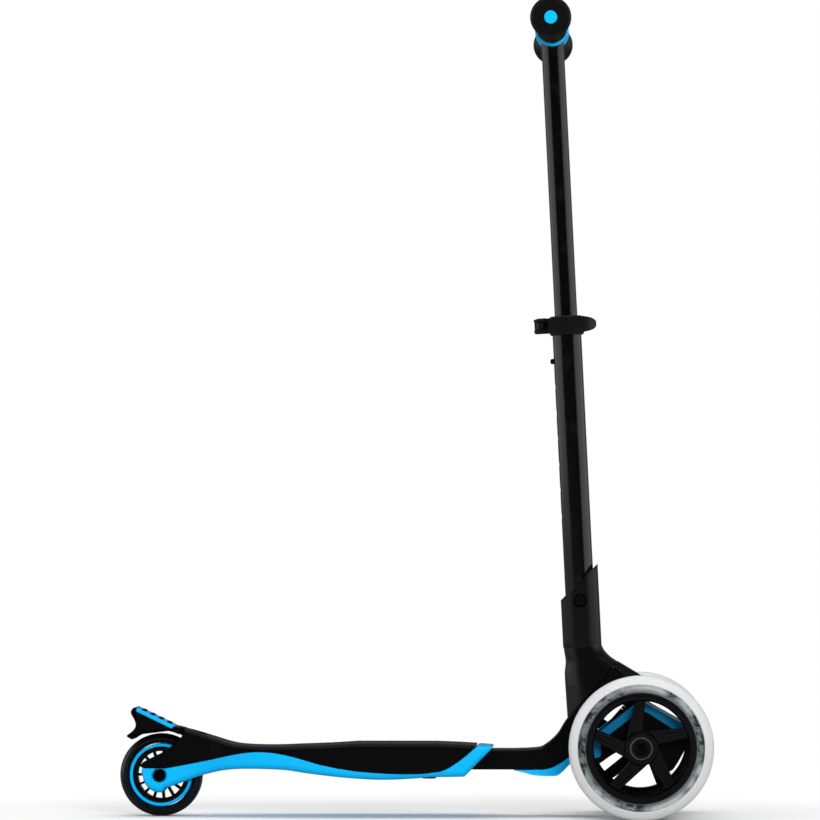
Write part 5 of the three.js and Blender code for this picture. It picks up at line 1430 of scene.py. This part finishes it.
piece("draw_nut", draw_nut, dark_steel, "front_frame", "clamp_nut", stem @ bolt_line, 0.5)
piece("lever_pin", disc(LEVER_PIN, *lever_span, 0.3, 24), steel, "front_frame", "clamp_lever_pin",
      stem @ Matrix.Translation((*LEVER_PIVOT, 0)))
print("clamp from", round(clamp_low, 1), "to", round(CLAMP_TOP, 1))

# %% [markdown]
# The lever's curved blade lies along the collar when it is shut. Seen from the side it swells in the
# middle like a lens. One outline can't hold both curves, so the plan is pushed upward, the side view is
# pushed across, and what they have in common is the blade. A barrel at its root turns on the pin.

# %% Clamp lever
LEVER_REACH = 30.0
LEVER_DEPTH = 19.0
LEVER_OUTER = [(-0.95, -1.1), (-0.5, -1.36), (-0.05, -1.5), (0.4, -1.42), (0.75, -1.22), (0.97, -0.9)]
LEVER_INNER = [(0.9, -0.78), (0.65, -1.02), (0.35, -1.2), (0, -1.27), (-0.35, -1.22), (-0.62, -0.85)]
LEVER_SWELL = [(-40, LEVER_HALF), (-31, LEVER_HALF), (-20, 6.8), (-6, 8), (8, 8.3), (18, 7.4), (25, 5.6),
               (28.2, 3.2), (29.2, 0)]
LEVER_BARREL = 6.5
EYE_ROOM = 9.0
blade_plan = [(u * LEVER_REACH, v * LEVER_DEPTH)
              for edge in (LEVER_OUTER, LEVER_INNER) for u, v in smooth_line(edge, 5)]
blade_side = smooth_line(LEVER_SWELL, 5)
blade_side += [(x, -z) for x, z in reversed(blade_side[:-1])]
blade = combined(slab(blade_plan, clamp_mid - 9, clamp_mid + 9),
                 [moved(slab(blade_side, -60, 60), across((0, 0, clamp_mid)))], "INTERSECT")
eye_room = slab(circle(EYE_ROOM, 56, *LEVER_PIVOT), clamp_mid - EYE_HALF - PLAY, clamp_mid + EYE_HALF + PLAY)
lever = cut(joined(blade, slab(circle(LEVER_BARREL, 56, *LEVER_PIVOT), *lever_span)), eye_room, pin_room)
piece("lever_blade", lever, clamp_plastic, "clamp_lever", "clamp_lever", stem, 0.9, 40, 3)
print("blade points", len(blade_plan), "by", len(blade_side))

# %% [markdown]
# The handlebar is a cross tube in a blue T sleeve. The sleeve has a raised collar at each end, and the
# stem's inner tube enters it from below.

# %% Handlebar
T_RADIUS = 16.4
T_HALF = 24.0
T_COLLAR = 0.7
bar_half = corners("cross_tube")[1].y
bar_line = stem @ across((0, 0, CROSS_AT))
bar = ring(INNER_BORE, INNER_RADIUS, -bar_half, bar_half, 0.3)
piece("bar_tube", bar, black_paint, "handlebar", "cross_tube", bar_line)
tee_face = [(INNER_RADIUS + PLAY, -T_HALF), (T_RADIUS - 1.2, -T_HALF), (T_RADIUS, -T_HALF + 1.2),
            (T_RADIUS, -T_HALF + 4.4), (T_RADIUS - T_COLLAR, -T_HALF + 5.2)]
stem_from_bar = bar_line.inverted() @ stem @ Matrix.Translation((0, 0, CROSS_AT))
tee = cut(turned(rounded(tee_face + flipped(tee_face), 0.4), 112),
          moved(rod(INNER_RADIUS + PLAY, -60, 0, 72), stem_from_bar))
piece("t_sleeve", tee, sleeve_blue, "handlebar", "t_joint", bar_line, 0.25, 40)
print("bar half", round(bar_half, 1))

# %% [markdown]
# A ribbed rubber grip is pushed on each end of the bar. It ends in a disc flange, and a blue plug closes
# the bar in its middle. One profile with its ribs in it is turned for both: the left grip is the right
# one turned round.

# %% Grips and plugs
GRIP_RADIUS = 15.0
GRIP_START = T_HALF + 12
GRIP_FLANGE = 19.6
PLUG_RADIUS = 6.2
RIB_STEP = 4.2
RIB_DEPTH = 0.9
RIBS_FROM = 6.5
RIBS_TO = 13
grip_end = corners("grip_left")[1].y
RIB = [(GRIP_RADIUS - RIB_DEPTH, 0), (GRIP_RADIUS - 0.1, 0.7), (GRIP_RADIUS, RIB_STEP / 2),
       (GRIP_RADIUS - 0.1, RIB_STEP - 1.2), (GRIP_RADIUS - RIB_DEPTH, RIB_STEP - 0.5)]
GRIP_NEAR = [(INNER_RADIUS + PLAY, 0), (GRIP_RADIUS - 0.9, 0), (GRIP_RADIUS - 0.2, 0.8), (GRIP_RADIUS, 2.4),
             (GRIP_RADIUS - 0.2, 5)]
GRIP_FAR = [(GRIP_RADIUS - 0.2, 8.6), (GRIP_RADIUS + 1.2, 6.4), (GRIP_FLANGE - 0.5, 4.3), (GRIP_FLANGE, 3.6),
            (GRIP_FLANGE, 1.9), (GRIP_FLANGE - 0.45, 1.1), (GRIP_FLANGE - 1.8, 0.05),
            (GRIP_FLANGE - 2.8, 0.6), (GRIP_FLANGE - 3.6, 0.7), (PLUG_RADIUS + PLAY, 0.7),
            (PLUG_RADIUS + PLAY, 3), (INNER_RADIUS + PLAY, 3)]
PLUG = [(0, 9), (8.6, 9), (8.6, 4.5), (PLUG_RADIUS, 3), (PLUG_RADIUS, 0.9), (PLUG_RADIUS - 0.6, 0.4),
        (0, 0.3)]
grip_line = [(r, GRIP_START + h) for r, h in GRIP_NEAR]
at = GRIP_START + RIBS_FROM
while at < grip_end - RIBS_TO:
    grip_line += [(r, at + h) for r, h in RIB]
    at += RIB_STEP
grip = turned(grip_line + [(r, grip_end - h) for r, h in GRIP_FAR])
plug = turned([(r, grip_end - h) for r, h in PLUG], 48)
for side, place in (("right", bar_line), ("left", bar_line @ Matrix.Rotation(math.pi, 4, "X"))):
    piece(f"ribbed_grip_{side}", grip, rubber, "handlebar", f"grip_{side}", place, 0.0, 50)
    piece(f"bar_end_plug_{side}", plug, blue_plastic, "handlebar", f"bar_plug_{side}", place)
print("grip points", len(grip[0]))

# %% [markdown]
# The scooter stands on a white studio floor that runs into a white backdrop. The floor close by is a
# plain matt white that takes a soft shadow. Farther off it glows as white as the backdrop, to the camera
# only, so that no horizon shows. To other rays it is grey, and darker still in reflections, so that it
# adds little light from below and the black parts stay black.

# %% Floor
FLOOR_HALF = 9.0
SHADOW_WITHIN = 0.3
WHITE_BEYOND = 0.62
BOUNCE_GREY = 0.6
MIRRORED_GREY = 0.15
floor_mesh = bpy.data.meshes.new("studio_floor")
floor_corners = [(x * FLOOR_HALF, y * FLOOR_HALF, 0) for x, y in ((-1, -1), (1, -1), (1, 1), (-1, 1))]
floor_mesh.from_pydata(floor_corners, [], [(0, 1, 2, 3)])
placed("studio_floor", floor_mesh)
paper = Finish("studio_paper", "")
sight = paper.is_ray("Camera")
far = paper.fade(paper.vector("LENGTH", paper.place, output="Value"), SHADOW_WITHIN, WHITE_BEYOND)
unseen = paper.mix(paper.is_ray("Glossy"), grey(BOUNCE_GREY), grey(MIRRORED_GREY))
matt = paper.node("ShaderNodeBsdfDiffuse", {}, {"Color": paper.mix(sight, unseen, grey(1.0))})
plain = paper.node("ShaderNodeEmission", {}, {"Color": grey(1.0), "Strength": 1.0})
paper.show(paper.node("ShaderNodeMixShader", {}, {0: sight * far, 1: matt, 2: plain}))
floor_mesh.materials.append(paper.material)
print("floor shows a shadow within", SHADOW_WITHIN, "m")

# %% [markdown]
# The world is white to the camera and through clear parts. Reflections see a light tent instead: light
# walls ahead of the scooter and behind it, a light ceiling, a dim far side and a nearly dark one where
# the camera stands. A world that is white all round would wash the black paint out to grey. The walls
# give the tubes their light edges, and the dark side gives them their dark middle.

# %% World
DIFFUSE_LEVEL = 0.42
WALLS = (0.68, 0.88, 0.01, 0.6)
BACK = (0.3, 0.9, 0.0, 0.15)
CEILING = (0.84, 0.95, 0.0, 0.85)
world = bpy.data.worlds.new("light_tent")
bpy.context.scene.world = world
tent = Recipe(world, "ShaderNodeOutputWorld")
direction = tent.node("ShaderNodeTexCoord", {}, {}, "Generated")
along, away, upward = (tent.node("ShaderNodeSeparateXYZ", {}, {0: direction}, axis) for axis in "XYZ")
walls = tent.fade(abs(along), *WALLS)
reflected = walls.or_more(tent.fade(upward, *CEILING).or_more(tent.fade(away, *BACK)))
room = tent.blend(tent.is_ray("Glossy"), DIFFUSE_LEVEL, reflected)
level = tent.blend(tent.is_ray("Camera").or_more(tent.is_ray("Transmission")), room, 1.0)
tent.show(tent.node("ShaderNodeBackground", {}, {"Color": grey(1.0), "Strength": level}))
print("tent nodes", len(tent.tree.nodes))

# %% [markdown]
# Three soft lamps bring the level up to where a colour renders about as written: a large one overhead, a
# key lamp low on the camera's side, and a weak one from the rear on the same side. They are hidden from
# reflections, which come from the tent alone.

# %% Lamps
def soft_lamp(name, place, aim, size, power):
    light = bpy.data.lights.new(name, "AREA")
    light.shape = "RECTANGLE"
    light.size, light.size_y = size
    light.energy = power
    lamp = placed(name, light)
    lamp.location = place
    lamp.rotation_euler = (Vector(aim) - Vector(place)).to_track_quat("-Z", "Y").to_euler()
    lamp.visible_glossy = False


soft_lamp("overhead", (0.0, 0.1, 3.0), (0.0, 0.0, 0.1), (2.6, 2.6), 40)
soft_lamp("key", (0.9, -3.8, 0.95), (0.0, 0.0, 0.2), (1.2, 0.5), 100)
soft_lamp("fill", (-2.4, -2.0, 1.6), (0.1, 0.0, 0.2), (1.4, 1.4), 12)
print("lamps", len(bpy.data.lights))

# %% [markdown]
# The photograph was taken from far away on the scooter's right, level with the lower third. The place,
# the aim and the lens were worked out from the wheels, the handlebar and the level of the floor. The lens
# is 5537 pixels long on a picture 820 pixels wide, and it looks a little back and up.

# %% Camera
LENS_PIXELS = 5537
AIM_PIXELS = (-188, 170)
camera = placed("camera", bpy.data.cameras.new("camera"))
camera.location = (0.17687, -5.371, 0.2286)
aim = Vector((AIM_PIXELS[0] / LENS_PIXELS, 1, AIM_PIXELS[1] / LENS_PIXELS))
camera.rotation_euler = aim.to_track_quat("-Z", "Y").to_euler()
camera.data.sensor_width = 36.0
camera.data.lens = 243.1
camera.data.clip_end = 60
bpy.context.scene.camera = camera
bpy.context.scene.view_settings.view_transform = "Standard"
print("camera at", tuple(round(value, 3) for value in camera.location))
